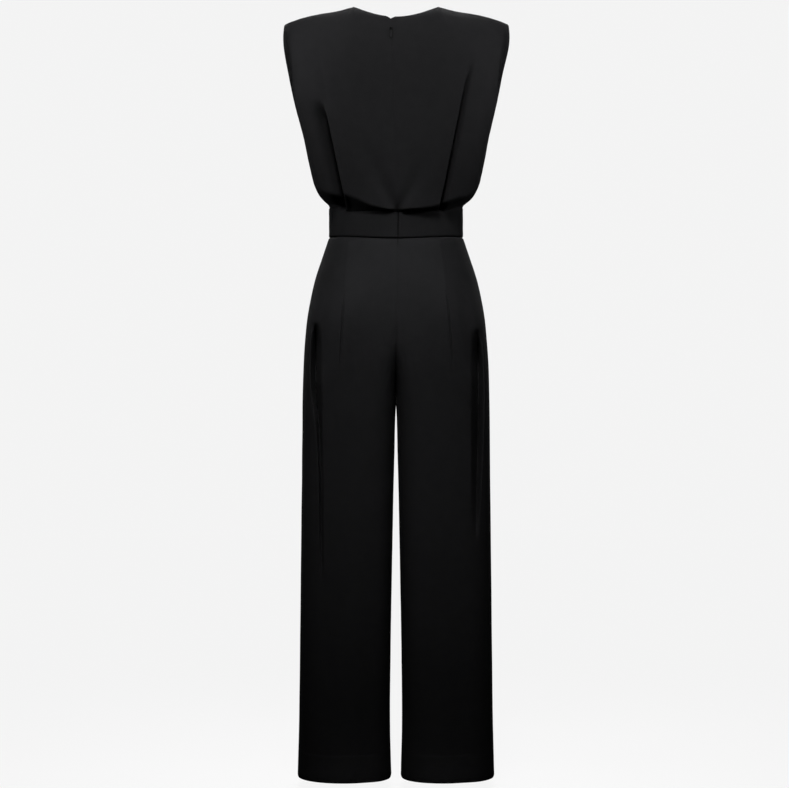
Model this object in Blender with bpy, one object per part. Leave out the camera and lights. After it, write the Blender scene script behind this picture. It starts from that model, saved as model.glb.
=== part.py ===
"""A sleeveless jumpsuit in the hollow form that it has when worn.

Padded shoulders, a bodice that blouses over a wide waistband, straight wide legs and an
invisible zip down the centre back. Metres, +Z up, front facing -Y, the wearer's left at +X.
The origin is midway between the inner ends of the shoulder seams, where the wearer holds it.

Each piece of cloth is a wall between a grid of outer points and the same grid moved inwards.
The grids come from the functions bodice_grid, band_grid and leg_grid.
"""

import math

import bmesh
import bpy
import numpy as np

# ---------------------------------------------------------------- cloth and seams

CLOTH_WALL = 0.0015
BAND_WALL = 0.0024
SEAM_GAP = 0.0003

# ---------------------------------------------------------------- levels, from the top down

NECK_POINT_Z = -0.0004
NECK_BACK_DROP = 0.0251
NECK_FRONT_DROP = 0.080
UNDERARM_Z = -0.249
BULGE_ENDS_Z = -0.330
BAND_TOP_Z = -0.3870
BAND_BOTTOM_Z = -0.4450
SEAM_DIP_ENDS_Z = -0.56
LEGS_PART_Z = -0.500
LEGS_PART_HEIGHT = 0.160
VALLEY_Z = -0.610
VALLEY_LIP = 0.960
CROTCH_Z = -0.770
HEM_Z = -1.482

# How far each waist seam dips at the centre back, and over what share of the way from the side.
BAND_TOP_DIP = (0.0120, 0.35)
BAND_BOTTOM_DIP = (0.0065, 1.0)

# ---------------------------------------------------------------- plan sizes

NECK_HALF_WIDTH = 0.083
NECK_BACK = 0.058
NECK_BACK_CURVE = 2.0
NECK_FRONT = 0.072
NECK_POINT_EASE = 0.15
SHOULDER_HALF_WIDTH = 0.2155
ARMHOLE_HALF_DEPTH = 0.058
ARMHOLE_ROUNDNESS = 0.55
BULGE_REACH = 7
WAIST_HALF_WIDTH = 0.1293
WAIST_BACK = 0.0930
WAIST_FRONT = 0.0910
NECK_SHARE = 0.36
EDGE_SHARE = 0.12
TUCKED_HEIGHT = 0.006
TURN_SHARE = 0.6
NOTCH_DEPTH = 0.005
NOTCH_HALF_WIDTH = 0.0095


def table(names, *rows):
    """A short table as {column name: array}."""
    return dict(zip(names.split(), np.array(rows, float).T))


# How fast each face fills out below the top edge, and how round its turn is at the neck and on
# the shoulder's ridge.
SHOULDER_FORM = {1: (5.0, 1.3, 2.0), -1: (3.6, 1.2, 1.8)}

# The ridge of the padded shoulder, from the neck point out to the tip.
SHOULDER_RIDGE = table(
    "x z",
    (0.0830, -0.0004),
    (0.0932, -0.0028),
    (0.1000, -0.0048),
    (0.1174, -0.0087),
    (0.1436, -0.0126),
    (0.1640, -0.0165),
    (0.1801, -0.0204),
    (0.1928, -0.0242),
    (0.2044, -0.0282),
    (0.2155, -0.0335),
)

# The bodice as it hangs from the shoulders, before it turns in to the waistband. square is the
# squareness of its plan, and right_extra widens the wearer's right side.
BODICE_HANG = table(
    "z half_width back front square right_extra",
    (-0.0310, 0.2155, 0.0930, 0.1000, 2.4, 0.0018),
    (-0.0740, 0.2150, 0.0970, 0.1050, 2.6, 0.0012),
    (-0.1360, 0.2058, 0.1020, 0.1130, 2.8, -0.0020),
    (-0.1980, 0.1924, 0.1055, 0.1190, 2.9, -0.0012),
    (-0.2490, 0.1789, 0.1070, 0.1220, 2.9, 0.0008),
    (-0.2895, 0.1705, 0.1070, 0.1240, 2.8, 0.0018),
    (-0.3200, 0.1638, 0.1062, 0.1245, 2.7, 0.0022),
    (-0.3435, 0.1582, 0.1052, 0.1240, 2.6, 0.0026),
    (-0.3700, 0.1540, 0.1038, 0.1230, 2.5, 0.0010),
    (-0.3950, 0.1520, 0.1025, 0.1220, 2.5, 0.0000),
)

# The blouse's turn into the waistband, from the centre (0) to the side seam (1): how far its
# lower edge is above the waist seam on each side of the wearer, and how rounded that edge is.
BODICE_TURN = table(
    "around edge_left edge_right rounding",
    (0.00, 0.0012, 0.0012, 0.0050),
    (0.07, 0.0018, 0.0016, 0.0052),
    (0.20, 0.0078, 0.0036, 0.0060),
    (0.35, 0.0240, 0.0087, 0.0070),
    (0.44, 0.0305, 0.0170, 0.0085),
    (0.53, 0.0271, 0.0204, 0.0110),
    (0.70, 0.0262, 0.0180, 0.0170),
    (0.85, 0.0270, 0.0220, 0.0250),
    (1.00, 0.0268, 0.0272, 0.0320),
)

# The trousers' outline, their depth behind and before the side seams, and the squareness of each
# leg's plan towards the side seam and towards the inseam.
TROUSERS = table(
    "z half_width back front outer_square inner_square",
    (-0.4450, 0.1293, 0.0930, 0.0910, 2.00, 6.5),
    (-0.4670, 0.1367, 0.1000, 0.0935, 2.05, 6.5),
    (-0.4860, 0.1431, 0.1055, 0.0960, 2.10, 6.5),
    (-0.5250, 0.1556, 0.1155, 0.1000, 2.25, 6.5),
    (-0.5640, 0.1646, 0.1222, 0.1030, 2.40, 6.5),
    (-0.6020, 0.1711, 0.1262, 0.1050, 2.60, 6.5),
    (-0.6410, 0.1746, 0.1272, 0.1060, 2.80, 6.3),
    (-0.6800, 0.1773, 0.1260, 0.1060, 2.90, 5.6),
    (-0.7570, 0.1795, 0.1200, 0.1040, 3.10, 4.2),
    (-0.8530, 0.1805, 0.1120, 0.1010, 3.20, 3.6),
    (-1.0460, 0.1828, 0.1050, 0.0990, 3.10, 3.6),
    (-1.2400, 0.1849, 0.1010, 0.0970, 2.80, 3.5),
    (-1.3940, 0.1872, 0.0960, 0.0940, 2.40, 3.0),
    (-1.4400, 0.1884, 0.0950, 0.0935, 2.25, 2.8),
    (-1.4820, 0.1896, 0.0985, 0.0955, 2.10, 2.5),
)

# Half of the space between the legs.
LEG_GAP = table(
    "z half_gap",
    (-0.7700, 0.0002),
    (-0.7780, 0.0007),
    (-0.7900, 0.0013),
    (-0.8530, 0.0028),
    (-0.9300, 0.0048),
    (-1.0100, 0.0064),
    (-1.0850, 0.0078),
    (-1.2400, 0.0104),
    (-1.4000, 0.0112),
    (-1.4820, 0.0090),
)

# Soft troughs in the cloth, each along a line from its top to its foot. bow curves the line
# sideways, width is the trough's half-width, and lift raises the cloth on its +X side where it
# is positive, and on its -X side where it is negative.
FOLD_COLUMNS = "x_top z_top x_foot z_foot bow width_top width_foot depth_top depth_foot lift"

BACK_BODICE_FOLDS = table(
    FOLD_COLUMNS,
    (0.138, -0.140, 0.094, -0.394, 0.000, 0.013, 0.011, 0.002, 0.016, -0.35),
    (-0.149, -0.095, -0.090, -0.394, 0.000, 0.010, 0.010, 0.002, 0.015, 0.30),
    (0.066, -0.250, 0.002, -0.394, 0.002, 0.018, 0.011, 0.000, 0.0035, -0.20),
    (-0.064, -0.285, -0.008, -0.394, -0.002, 0.016, 0.011, 0.000, 0.0030, 0.20),
)

FRONT_BODICE_FOLDS = table(
    FOLD_COLUMNS,
    (0.120, -0.150, 0.088, -0.390, 0.004, 0.014, 0.011, 0.001, 0.012, -0.30),
    (-0.116, -0.130, -0.084, -0.390, -0.004, 0.013, 0.011, 0.001, 0.012, 0.30),
    (0.052, -0.270, 0.038, -0.390, 0.000, 0.012, 0.009, 0.000, 0.007, 0.20),
    (-0.046, -0.280, -0.034, -0.390, 0.000, 0.012, 0.009, 0.000, 0.006, -0.20),
)

BACK_LEG_FOLDS = table(
    FOLD_COLUMNS,
    (0.158, -0.575, 0.1425, -1.060, 0.000, 0.016, 0.014, 0.022, 0.007, -0.10),
    (-0.156, -0.600, -0.150, -0.940, 0.000, 0.016, 0.014, 0.020, 0.009, 0.10),
    (0.048, -0.700, 0.056, -1.470, -0.008, 0.020, 0.022, 0.000, 0.004, 0.00),
    (-0.120, -0.900, -0.128, -1.484, 0.000, 0.020, 0.024, 0.000, 0.005, 0.00),
)

FRONT_LEG_FOLDS = table(
    FOLD_COLUMNS,
    (0.140, -0.600, 0.146, -1.484, 0.000, 0.015, 0.020, 0.001, 0.006, 0.20),
    (-0.144, -0.620, -0.140, -1.300, 0.000, 0.015, 0.020, 0.001, 0.006, -0.20),
    (0.060, -0.850, 0.050, -1.484, 0.000, 0.020, 0.022, 0.000, 0.005, 0.00),
    (-0.064, -0.820, -0.056, -1.484, 0.000, 0.020, 0.022, 0.000, 0.005, 0.00),
)

# How far round to the wearer's left the centre-back seam lies, as a share of the way to the side.
CENTRE_SWAY = table(
    "z share",
    (0.050, 0.0260),
    (-0.070, 0.0250),
    (-0.120, 0.0150),
    (-0.200, 0.0105),
    (-0.300, -0.0040),
    (-0.390, -0.0205),
    (-0.460, -0.0165),
    (-0.600, -0.0045),
    (-0.700, 0.0000),
)

# ---------------------------------------------------------------- grid rows and columns

BODICE_COLUMNS = 18
BAND_COLUMNS = 16
LEG_COLUMNS = (0, 0.07, 0.15, 0.24, 0.33, 0.42, 0.51, 0.59, 0.655, 0.705, 0.745, 0.785, 0.825)
LEG_COLUMNS += (0.865, 0.91, 0.955, 1)
UPPER_ROWS = (0, 0.025, 0.065, 0.12, 0.2, 0.3, 0.42, 0.55, 0.68, 0.8, 0.9, 0.965, 1)
HANG_ROWS = (0.24, 0.47, 0.69, 0.87, 1)
TURN_ROWS = (0.13, 0.26, 0.38, 0.49, 0.6, 0.8, 1)
BAND_ROWS = (0, 0.5, 1)
RISE_ROWS = (0, 0.09, 0.2, 0.32, 0.45, 0.56, 0.66, 0.75, 0.83, 0.895, 0.945, 0.98, 1)
LEG_ROWS = (0.04, 0.12, 0.24, 0.4, 0.56, 0.72, 0.86, 0.95, 1)
SECTION_SAMPLES = 97

# ---------------------------------------------------------------- zip

ZIP_TOP_Z = -0.0525
TAPE_HALF_WIDTH = 0.0110
TAPE_WALL = 0.0010
TAPE_LAST_ROW = 5
SLIDER_LENGTH = 0.0080
SLIDER_WIDTH = 0.0056
SLIDER_PLATE = 0.0012
SEAT_GAP = 0.0004
EAR_INSIDE = 0.0014
EAR_THICKNESS = 0.0009
EAR_RADIUS = 0.0013
PIN_RADIUS = 0.0005
PIN_HEIGHT = 0.0034
KNUCKLE_BORE = 0.0008
KNUCKLE_RADIUS = 0.0015
KNUCKLE_HALF_WIDTH = 0.0011
PULL_LENGTH = 0.0212
PULL_NECK_HALF_WIDTH = 0.0011
PULL_HALF_WIDTH = 0.0040
PULL_THICKNESS = 0.0011
PULL_RIM = 0.0009
PULL_DISH = 0.0003
ROUND_STEPS = 16

# Colours as linear red, green and blue.
BLACK_CREPE = (0.012, 0.012, 0.013)
BLACK_TAPE = (0.014, 0.014, 0.015)
BLACK_ENAMEL = (0.010, 0.010, 0.011)


# ---------------------------------------------------------------- small maths


def curve(values, name, at, key="z"):
    """Reads a table's column at the given places, along a smooth curve through its rows."""
    order = np.argsort(values[key])
    xs, ys = values[key][order], values[name][order]
    slopes = np.gradient(ys, xs)
    at = np.clip(at, xs[0], xs[-1])
    i = np.clip(np.searchsorted(xs, at) - 1, 0, len(xs) - 2)
    span = xs[i + 1] - xs[i]
    t = (at - xs[i]) / span
    start = (1 + 2 * t) * (1 - t) ** 2 * ys[i] + t * (1 - t) ** 2 * span * slopes[i]
    end = t * t * (3 - 2 * t) * ys[i + 1] + t * t * (t - 1) * span * slopes[i + 1]
    return start + end


def unit(vectors):
    return vectors / np.maximum(np.linalg.norm(vectors, axis=-1, keepdims=True), 1e-9)


def ease(value):
    """0 up to 0, 1 from 1, and smooth between."""
    value = np.clip(value, 0, 1)
    return value * value * (3 - 2 * value)


def mix(a, b, share):
    return a + (b - a) * share


def fold_depth(folds, x, z):
    """How far the cloth is pressed in at (x, z), negative where it is raised."""
    total = np.zeros(np.broadcast(x, z).shape)
    for row in zip(*(folds[name] for name in FOLD_COLUMNS.split())):
        x_top, z_top, x_foot, z_foot, bow, width_top, width_foot, depth_top, depth_foot, lift = row
        along = (z_top - z) / (z_top - z_foot)
        line = mix(x_top, x_foot, along) + bow * 4 * along * (1 - along)
        width = mix(width_top, width_foot, np.clip(along, 0, 1))
        depth = mix(depth_top, depth_foot, np.clip(along, 0, 1))
        depth = depth * ease(along / 0.2) * ease((1.25 - along) / 0.25)
        across = (x - line) / width
        total += depth * np.exp(-across * across) * (1 - lift * across)
    return total


# ---------------------------------------------------------------- the cloth's outer surface


def back_dip(dip, x, y):
    """How far a waist seam dips at (x, y): most at the centre back, nothing at the front."""
    depth, reach = dip
    return depth * ease((1 - np.abs(x) / WAIST_HALF_WIDTH) / reach) * (y > 0)


def from_seam(face, side, around, z):
    """Shares of the way round for columns that start at the centre seam at height z."""
    start = side * curve(CENTRE_SWAY, "share", z) * (face > 0)
    return around + start * np.clip(1 - around / NECK_SHARE, 0, 1) ** 2


def top_edge(face, around):
    """The bodice's top edge, along the neck and then the shoulder seam: (x, y, z)."""
    reach = np.abs(around)
    neck_angle = np.clip(reach / NECK_SHARE, 0, 1) * math.pi / 2
    neck = np.sin(neck_angle)
    shoulder = np.clip((reach - NECK_SHARE) / (1 - NECK_SHARE), 0, 1)
    x = NECK_HALF_WIDTH * neck + (SHOULDER_HALF_WIDTH - NECK_HALF_WIDTH) * shoulder
    if face > 0:
        y = NECK_BACK * np.cos(neck_angle)
        z = NECK_POINT_Z - NECK_BACK_DROP * (1 - neck**NECK_BACK_CURVE)
    else:
        y = -NECK_FRONT * np.cos(neck_angle)
        z = NECK_POINT_Z - NECK_FRONT_DROP * (1 - neck**2.4) ** 0.85
    ridge = curve(SHOULDER_RIDGE, "z", x, "x")
    return np.copysign(x, around), y, np.where(shoulder > 0, ridge, z)


def hang(face, around, z):
    """The bodice where it hangs free: (x, y) at a share of the way round and a height."""
    across = np.sin(around * math.pi / 2)
    depth = curve(BODICE_HANG, "back" if face > 0 else "front", z)
    square = curve(BODICE_HANG, "square", z)
    inwards = (1 - np.abs(across) ** square) ** (1 / square)
    return curve(BODICE_HANG, "half_width", z) * across, face * depth * inwards


def armhole_bulge(face, around, z_top, z):
    """How far the cloth stands back (or forward) beside the armhole. At the side it ends at the
    underarm, and further in it fades out lower down."""
    around = np.abs(around)
    z_end = mix(BULGE_ENDS_Z, UNDERARM_Z, around**6)
    share = np.clip((z_top - z) / (z_top - z_end), 0, 1)
    return (
        face
        * ARMHOLE_HALF_DEPTH
        * np.abs(np.sin(math.pi * share)) ** mix(2, ARMHOLE_ROUNDNESS, around**4)
        * around**BULGE_REACH
    )


def eased_top(face, around, reach):
    """The top edge's offset from the hanging cloth in x, and its y, with the corner at the neck
    point eased over the given share of the way round."""
    reach = reach * ease((1 - around) / 0.15)
    steps = np.linspace(-1, 1, 9)
    weights = np.cos(steps * math.pi / 2.4) ** 2
    x_total = y_total = 0
    for step, weight in zip(steps, weights / weights.sum()):
        x, y, z = top_edge(face, around + step * reach)
        x_hang, _ = hang(face, around + step * reach, z)
        x_total = x_total + weight * (x - x_hang)
        y_total = y_total + weight * y
    return x_total, y_total


def waist_ring(face, around):
    """The waist's plan: (x, y) at a share of the way round from the centre to the side."""
    angle = around * math.pi / 2
    depth = WAIST_BACK if face > 0 else WAIST_FRONT
    return WAIST_HALF_WIDTH * np.sin(angle), face * depth * np.cos(angle)


def turned_in(start, corner, end, rounding, row):
    """A point on a path from start round a corner and straight on to the end."""
    reach = rounding / np.maximum(np.linalg.norm(end - corner, axis=-1, keepdims=True), 1e-6)
    leave = mix(corner, end, np.clip(reach, 0, 0.9))
    if row > TURN_SHARE:
        return mix(leave, end, (row - TURN_SHARE) / (1 - TURN_SHARE))
    t = row / TURN_SHARE
    return (1 - t) ** 2 * start + 2 * t * (1 - t) * corner + t * t * leave


def bodice_grid(face, side, around, upper_rows, hang_rows, turn_rows):
    """Outer points of half of the back (face 1) or front (face -1), on the wearer's left
    (side 1) or right (side -1). Columns run from the centre to the side, rows from the top."""
    rows = []

    # From the top edge down to the underarm, over the shoulder.
    fullness, neck_roundness, ridge_roundness = SHOULDER_FORM[face]
    roundness = mix(neck_roundness, ridge_roundness, ease(around / NECK_SHARE))
    for row in upper_rows:
        share = from_seam(face, side, around, mix(NECK_POINT_Z - NECK_BACK_DROP, UNDERARM_Z, row))
        x_top, _, z_top = top_edge(face, share)
        from_notch = np.abs(x_top - x_top[0])
        notch = NOTCH_DEPTH * np.clip(1 - from_notch / NOTCH_HALF_WIDTH, 0, 1) * (face > 0)
        s = row + (1 - row) * notch / (z_top - UNDERARM_Z)
        z = mix(z_top, UNDERARM_Z, s)
        x, y = hang(face, share, z)
        x_offset, y_top = eased_top(face, share, NECK_POINT_EASE * ease(row / 0.22))
        x = x + x_offset * (1 - s) ** 2
        y = mix(y_top, y, (1 - (1 - s) ** fullness) ** (1 / roundness))
        y = y + armhole_bulge(face, share, z_top, z)
        rows.append(np.stack((x, y, z), -1))

    # From the underarm down to the turn, and through the turn to the waistband.
    edge = curve(BODICE_TURN, "edge_left" if side > 0 else "edge_right", around, "around")
    rounding = curve(BODICE_TURN, "rounding", around, "around")
    x_waist, y_waist = waist_ring(face, around)
    z_waist = BAND_TOP_Z - back_dip(BAND_TOP_DIP, x_waist, y_waist)
    z_turn = z_waist + edge + rounding
    for row in hang_rows:
        z = mix(UNDERARM_Z, z_turn, row)
        share = from_seam(face, side, around, z[0])
        _, _, z_top = top_edge(face, share)
        x, y = hang(face, share, z)
        rows.append(np.stack((x, y + armhole_bulge(face, share, z_top, z), z), -1))
    for row in turn_rows:
        share = from_seam(face, side, around, mix(z_turn[0], z_waist[0], row))
        x_waist, y_waist = waist_ring(face, share)
        z_waist = BAND_TOP_Z - back_dip(BAND_TOP_DIP, x_waist, y_waist)
        z_edge = z_waist + edge
        start = np.stack((*hang(face, share, z_edge + rounding), z_edge + rounding), -1)
        corner = np.stack((*hang(face, share, z_edge), z_edge), -1)
        end = np.stack((x_waist, y_waist, z_waist), -1)
        rows.append(turned_in(start, corner, end, rounding[:, None], row))

    points = np.array(rows)
    folds = BACK_BODICE_FOLDS if face > 0 else FRONT_BODICE_FOLDS
    depth = fold_depth(folds, side * points[..., 0], points[..., 2])
    from_waist = np.linalg.norm(points - points[-1], axis=-1)
    depth *= ease(from_waist / TUCKED_HEIGHT) * ease((1 - around) / EDGE_SHARE)
    points[..., :2] -= unit(points[..., :2] * (0.5, 1.0)) * depth[..., None]
    if side < 0:
        points[..., 0] += curve(BODICE_HANG, "right_extra", points[..., 2]) * around**2
    points[..., 0] *= side
    return points


def band_grid(face, side, around, rows):
    """Outer points of half of the waistband, from the centre to the side seam."""
    centre_top = BAND_TOP_Z - BAND_TOP_DIP[0]
    centre_foot = BAND_BOTTOM_Z - BAND_BOTTOM_DIP[0]
    points = []
    for row in rows:
        x, y = waist_ring(face, from_seam(face, side, around, mix(centre_top, centre_foot, row)))
        top = BAND_TOP_Z - back_dip(BAND_TOP_DIP, x, y) - SEAM_GAP
        foot = BAND_BOTTOM_Z - back_dip(BAND_BOTTOM_DIP, x, y)
        points.append(np.stack((side * x, y, mix(top, foot, row)), -1))
    return np.array(points)


def leg_section(z):
    """The plan of one trouser leg at a height, as (middle, half-width, parted). parted is 0
    where the legs are still one round, and 1 from the crotch down."""
    out = curve(TROUSERS, "half_width", z)
    below = np.clip((VALLEY_Z - z) / (VALLEY_Z - CROTCH_Z), 0, 1)
    valley = min((1 - below**2.2) ** 0.75, VALLEY_LIP)
    square = curve(TROUSERS, "inner_square", z)
    parted = (1 - valley**square) ** (1 / square)
    parted = parted * ease((LEGS_PART_Z - z) / LEGS_PART_HEIGHT)
    inner = out * (parted - 1) / (parted + 1)
    if z <= CROTCH_Z:
        inner = curve(LEG_GAP, "half_gap", z)
    return (out + inner) / 2, (out - inner) / 2, parted


def leg_grid(face, side, across_panel, levels):
    """Outer points of a trouser panel, from the centre seam or inseam out to the side seam."""
    folds = BACK_LEG_FOLDS if face > 0 else FRONT_LEG_FOLDS
    rows = []
    for z in levels:
        middle, half_width, parted = leg_section(z)
        angle = np.linspace(math.acos(-parted), 0, SECTION_SAMPLES)
        across = np.cos(angle)
        inner_square = curve(TROUSERS, "inner_square", z)
        square = np.where(across < 0, inner_square, curve(TROUSERS, "outer_square", z))
        x = middle + half_width * across
        depth = curve(TROUSERS, "back" if face > 0 else "front", z)
        y = face * depth * (1 - np.abs(across) ** square) ** (1 / square)
        length = np.concatenate(((0,), np.cumsum(np.hypot(np.diff(x), np.diff(y)))))

        centre_drop = 1 - ease((BAND_BOTTOM_Z - z) / (BAND_BOTTOM_Z - SEAM_DIP_ENDS_Z))
        z_seam = z - BAND_BOTTOM_DIP[0] * centre_drop
        seam_x = x[-1] * math.sin(from_seam(face, side, 0, z_seam) * math.pi / 2)
        start = math.copysign(np.interp(abs(seam_x), x, length), seam_x) if z > CROTCH_Z else 0
        even = mix(start, length[-1], across_panel)
        x = np.interp(np.abs(even), length, x) * np.where(even < 0, -1, 1)
        y = np.interp(np.abs(even), length, y)

        seam_share = np.maximum(ease(across_panel / 0.2), ease((CROTCH_Z - z) / 0.1))
        depth = fold_depth(folds, side * x, z)
        depth = depth * seam_share * ease((1 - across_panel) / EDGE_SHARE)

        drop = back_dip(BAND_BOTTOM_DIP, x, y) * centre_drop
        drop = drop + SEAM_GAP * (z == levels[0])
        rows.append(np.stack((side * x, y - face * depth, z - drop), -1))
    return np.array(rows)


# ---------------------------------------------------------------- walls


def outward_normals(points, face, side):
    along, down = np.gradient(points, axis=1), np.gradient(points, axis=0)
    normals = np.cross(along, down) * face * side
    return normals / np.linalg.norm(normals, axis=-1, keepdims=True)


def make_material(name, colour, roughness, metallic):
    material = bpy.data.materials.new(name)
    material.use_nodes = True
    shader = material.node_tree.nodes["Principled BSDF"]
    shader.inputs["Base Color"].default_value = (*colour, 1)
    shader.inputs["Roughness"].default_value = roughness
    shader.inputs["Metallic"].default_value = metallic
    return material


def link_mesh(name, mesh, material):
    """Puts a bmesh into the scene as a named object, with its faces pointing out."""
    bmesh.ops.recalc_face_normals(mesh, faces=mesh.faces)
    data = bpy.data.meshes.new(name)
    mesh.to_mesh(data)
    mesh.free()
    data.materials.append(material)
    data.shade_smooth()
    data.set_sharp_from_angle(angle=math.radians(40))
    piece = bpy.data.objects.new(name, data)
    bpy.context.scene.collection.objects.link(piece)
    return piece


def make_wall(name, outer, normals, thickness, material):
    """A closed wall: the outer grid, the same grid moved in, and a rim round both."""
    inner = outer - normals * thickness
    rows, columns = outer.shape[:2]
    mesh = bmesh.new()
    skins = [[[mesh.verts.new(point) for point in row] for row in skin] for skin in (outer, inner)]
    for skin in skins:
        for i in range(rows - 1):
            for j in range(columns - 1):
                mesh.faces.new((skin[i][j], skin[i][j + 1], skin[i + 1][j + 1], skin[i + 1][j]))
    rim = [(0, j) for j in range(columns - 1)]
    rim += [(i, columns - 1) for i in range(rows - 1)]
    rim += [(rows - 1, j) for j in range(columns - 1, 0, -1)]
    rim += [(i, 0) for i in range(rows - 1, 0, -1)]
    for (i, j), (k, m) in zip(rim, rim[1:] + rim[:1]):
        mesh.faces.new((skins[0][i][j], skins[0][k][m], skins[1][k][m], skins[1][i][j]))
    return link_mesh(name, mesh, material)


def bodice_columns():
    """Even columns, with one exactly at the neck point and one beside the neck's notch."""
    neck = round(BODICE_COLUMNS * NECK_SHARE)
    to_neck = np.linspace(0, NECK_SHARE, neck + 1)
    to_tip = np.linspace(NECK_SHARE, 1, BODICE_COLUMNS - neck + 1)[1:]
    beside_notch = NECK_SHARE * math.asin(NOTCH_HALF_WIDTH / NECK_HALF_WIDTH) / (math.pi / 2)
    return np.sort(np.concatenate((to_neck, to_tip, (beside_notch,))))


def bodice_half(face, side):
    """Outer points and normals of a half of the bodice's back or front."""
    around = bodice_columns()
    points = bodice_grid(face, side, around, UPPER_ROWS, HANG_ROWS, TURN_ROWS)
    normals = outward_normals(points, face, side)
    underarm = len(UPPER_ROWS) - 1
    shoulder = around >= NECK_SHARE - 1e-6
    normals[:, 0, 0] = 0
    normals[0, shoulder, 1] = 0
    normals[underarm:, -1, 1] = 0
    normals[-1, :, 2] = 0
    points[underarm:, -1, 1] += face * SEAM_GAP / 2
    points[0, shoulder, 1] += face * SEAM_GAP / 2
    return points, unit(normals)


def band_half(face, side):
    """Outer points and normals of a half of the waistband's back or front."""
    points = band_grid(face, side, np.linspace(0, 1, BAND_COLUMNS + 1), BAND_ROWS)
    normals = outward_normals(points, face, side)
    normals[:, 0, 0] = 0
    normals[:, -1, 1] = 0
    normals[:, :, 2] = 0
    points[:, -1, 1] += face * SEAM_GAP / 2
    return points, unit(normals)


def trouser_panel_form(face, side):
    """Outer points and normals of one of the four trouser panels."""
    levels = [mix(BAND_BOTTOM_Z, CROTCH_Z, share) for share in RISE_ROWS]
    levels += [mix(CROTCH_Z, HEM_Z, share) for share in LEG_ROWS]
    points = leg_grid(face, side, np.array(LEG_COLUMNS), levels)
    normals = outward_normals(points, face, side)
    crotch = len(RISE_ROWS) - 1
    # Above the crotch the wall may lean away from the centre seam, and never across it.
    normals[: crotch + 1, 0, 0] = side * np.minimum(side * normals[: crotch + 1, 0, 0], 0)
    normals[crotch:, 0, 1] = 0
    normals[:, -1, 1] = 0
    normals[(0, -1), :, 2] = 0
    points[: crotch + 1, 0, 0] += side * SEAM_GAP / 2
    points[crotch:, 0, 1] += face * SEAM_GAP / 2
    points[:, -1, 1] += face * SEAM_GAP / 2
    return points, unit(normals)


def make_back(name, form, side, wall, material):
    """A back panel that stops at the centre seam."""
    points, normals = form(1, side)
    points[:, 0, 0] += side * SEAM_GAP / 2
    return make_wall(name, points, normals, wall, material)


def make_front(name, form, wall, material):
    """A front panel in one piece, whose two halves share the centre column."""
    halves = zip(form(-1, 1), form(-1, -1))
    points, normals = (np.concatenate((r[:, ::-1], l[:, 1:]), axis=1) for l, r in halves)
    return make_wall(name, points, normals, wall, material)


# ---------------------------------------------------------------- zip


def tape_half(side):
    """Outer points and normals of half of the zip's tape, out from the centre seam."""
    stretches = (
        (bodice_half, CLOTH_WALL, slice(1, -len(TURN_ROWS))),
        (band_half, BAND_WALL, slice(None)),
        (trouser_panel_form, CLOTH_WALL, slice(1, TAPE_LAST_ROW)),
    )
    points, normals = [], []
    for form, wall, rows in stretches:
        outer, outward = (half[rows] for half in form(1, side))
        behind = (outer - outward * (wall + 2 * SEAM_GAP)) * (side, 1, 1)
        for row, normal in zip(behind, outward):
            reach = row[:, 0] - row[0, 0]
            across = np.array((0, min(reach[1], TAPE_HALF_WIDTH / 2), TAPE_HALF_WIDTH))
            y, z = (np.interp(across, reach, row[:, axis]) for axis in (1, 2))
            points.append(np.stack((side * (row[0, 0] + across), y, z), -1))
            normals.append((normal[0],) * 3)
    return np.array(points), np.array(normals)


def make_tape(material):
    """The zip's tape, a strip behind the back seam from the neck to the seat."""
    (left, left_normals), (right, right_normals) = tape_half(1), tape_half(-1)
    points = np.concatenate((right[:, ::-1], left[:, 1:]), axis=1)
    normals = np.concatenate((right_normals, left_normals[:, 1:]), axis=1)
    return make_wall("zip_tape", points, normals, TAPE_WALL, material)


def zip_frame():
    """The slider's place on the back seam: an empty whose Y axis leaves the cloth and whose
    Z axis runs up it."""
    seam = bodice_half(1, 1)[0][len(UPPER_ROWS) - 1 :: -1, 0]
    levels = (ZIP_TOP_Z, ZIP_TOP_Z - PULL_LENGTH)
    place, foot = (
        np.array([np.interp(z, seam[:, 2], seam[:, axis]) for axis in range(3)]) for z in levels
    )
    up = place - foot
    frame = bpy.data.objects.new("zip_place", None)
    frame.location = place
    frame.rotation_euler = (math.atan2(-up[1], up[2]), 0, 0)
    bpy.context.scene.collection.objects.link(frame)
    return frame


def extrude_outline(mesh, outline, direction, start, end):
    """A prism: an outline in the plane square to direction, from start to end along it."""
    ends = []
    for distance in (start, end):
        ends.append([mesh.verts.new(direction(a, b, distance)) for a, b in outline])
    mesh.faces.new(ends[0])
    mesh.faces.new(ends[1][::-1])
    for i in range(len(outline)):
        j = (i + 1) % len(outline)
        mesh.faces.new((ends[0][i], ends[0][j], ends[1][j], ends[1][i]))


def along_x(a, b, distance):
    return (distance, a, b)


def union(target, other):
    """Joins the other piece into the target, so that they are one closed body."""
    join = target.modifiers.new("join_" + other.name, "BOOLEAN")
    join.operation = "UNION"
    join.object = other
    other.hide_render = True
    other.display_type = "WIRE"


def arc(centre, radius, start, end, steps):
    angles = np.radians(np.linspace(start, end, steps + 1))
    return [(centre[0] + radius * math.cos(a), centre[1] + radius * math.sin(a)) for a in angles]


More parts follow.
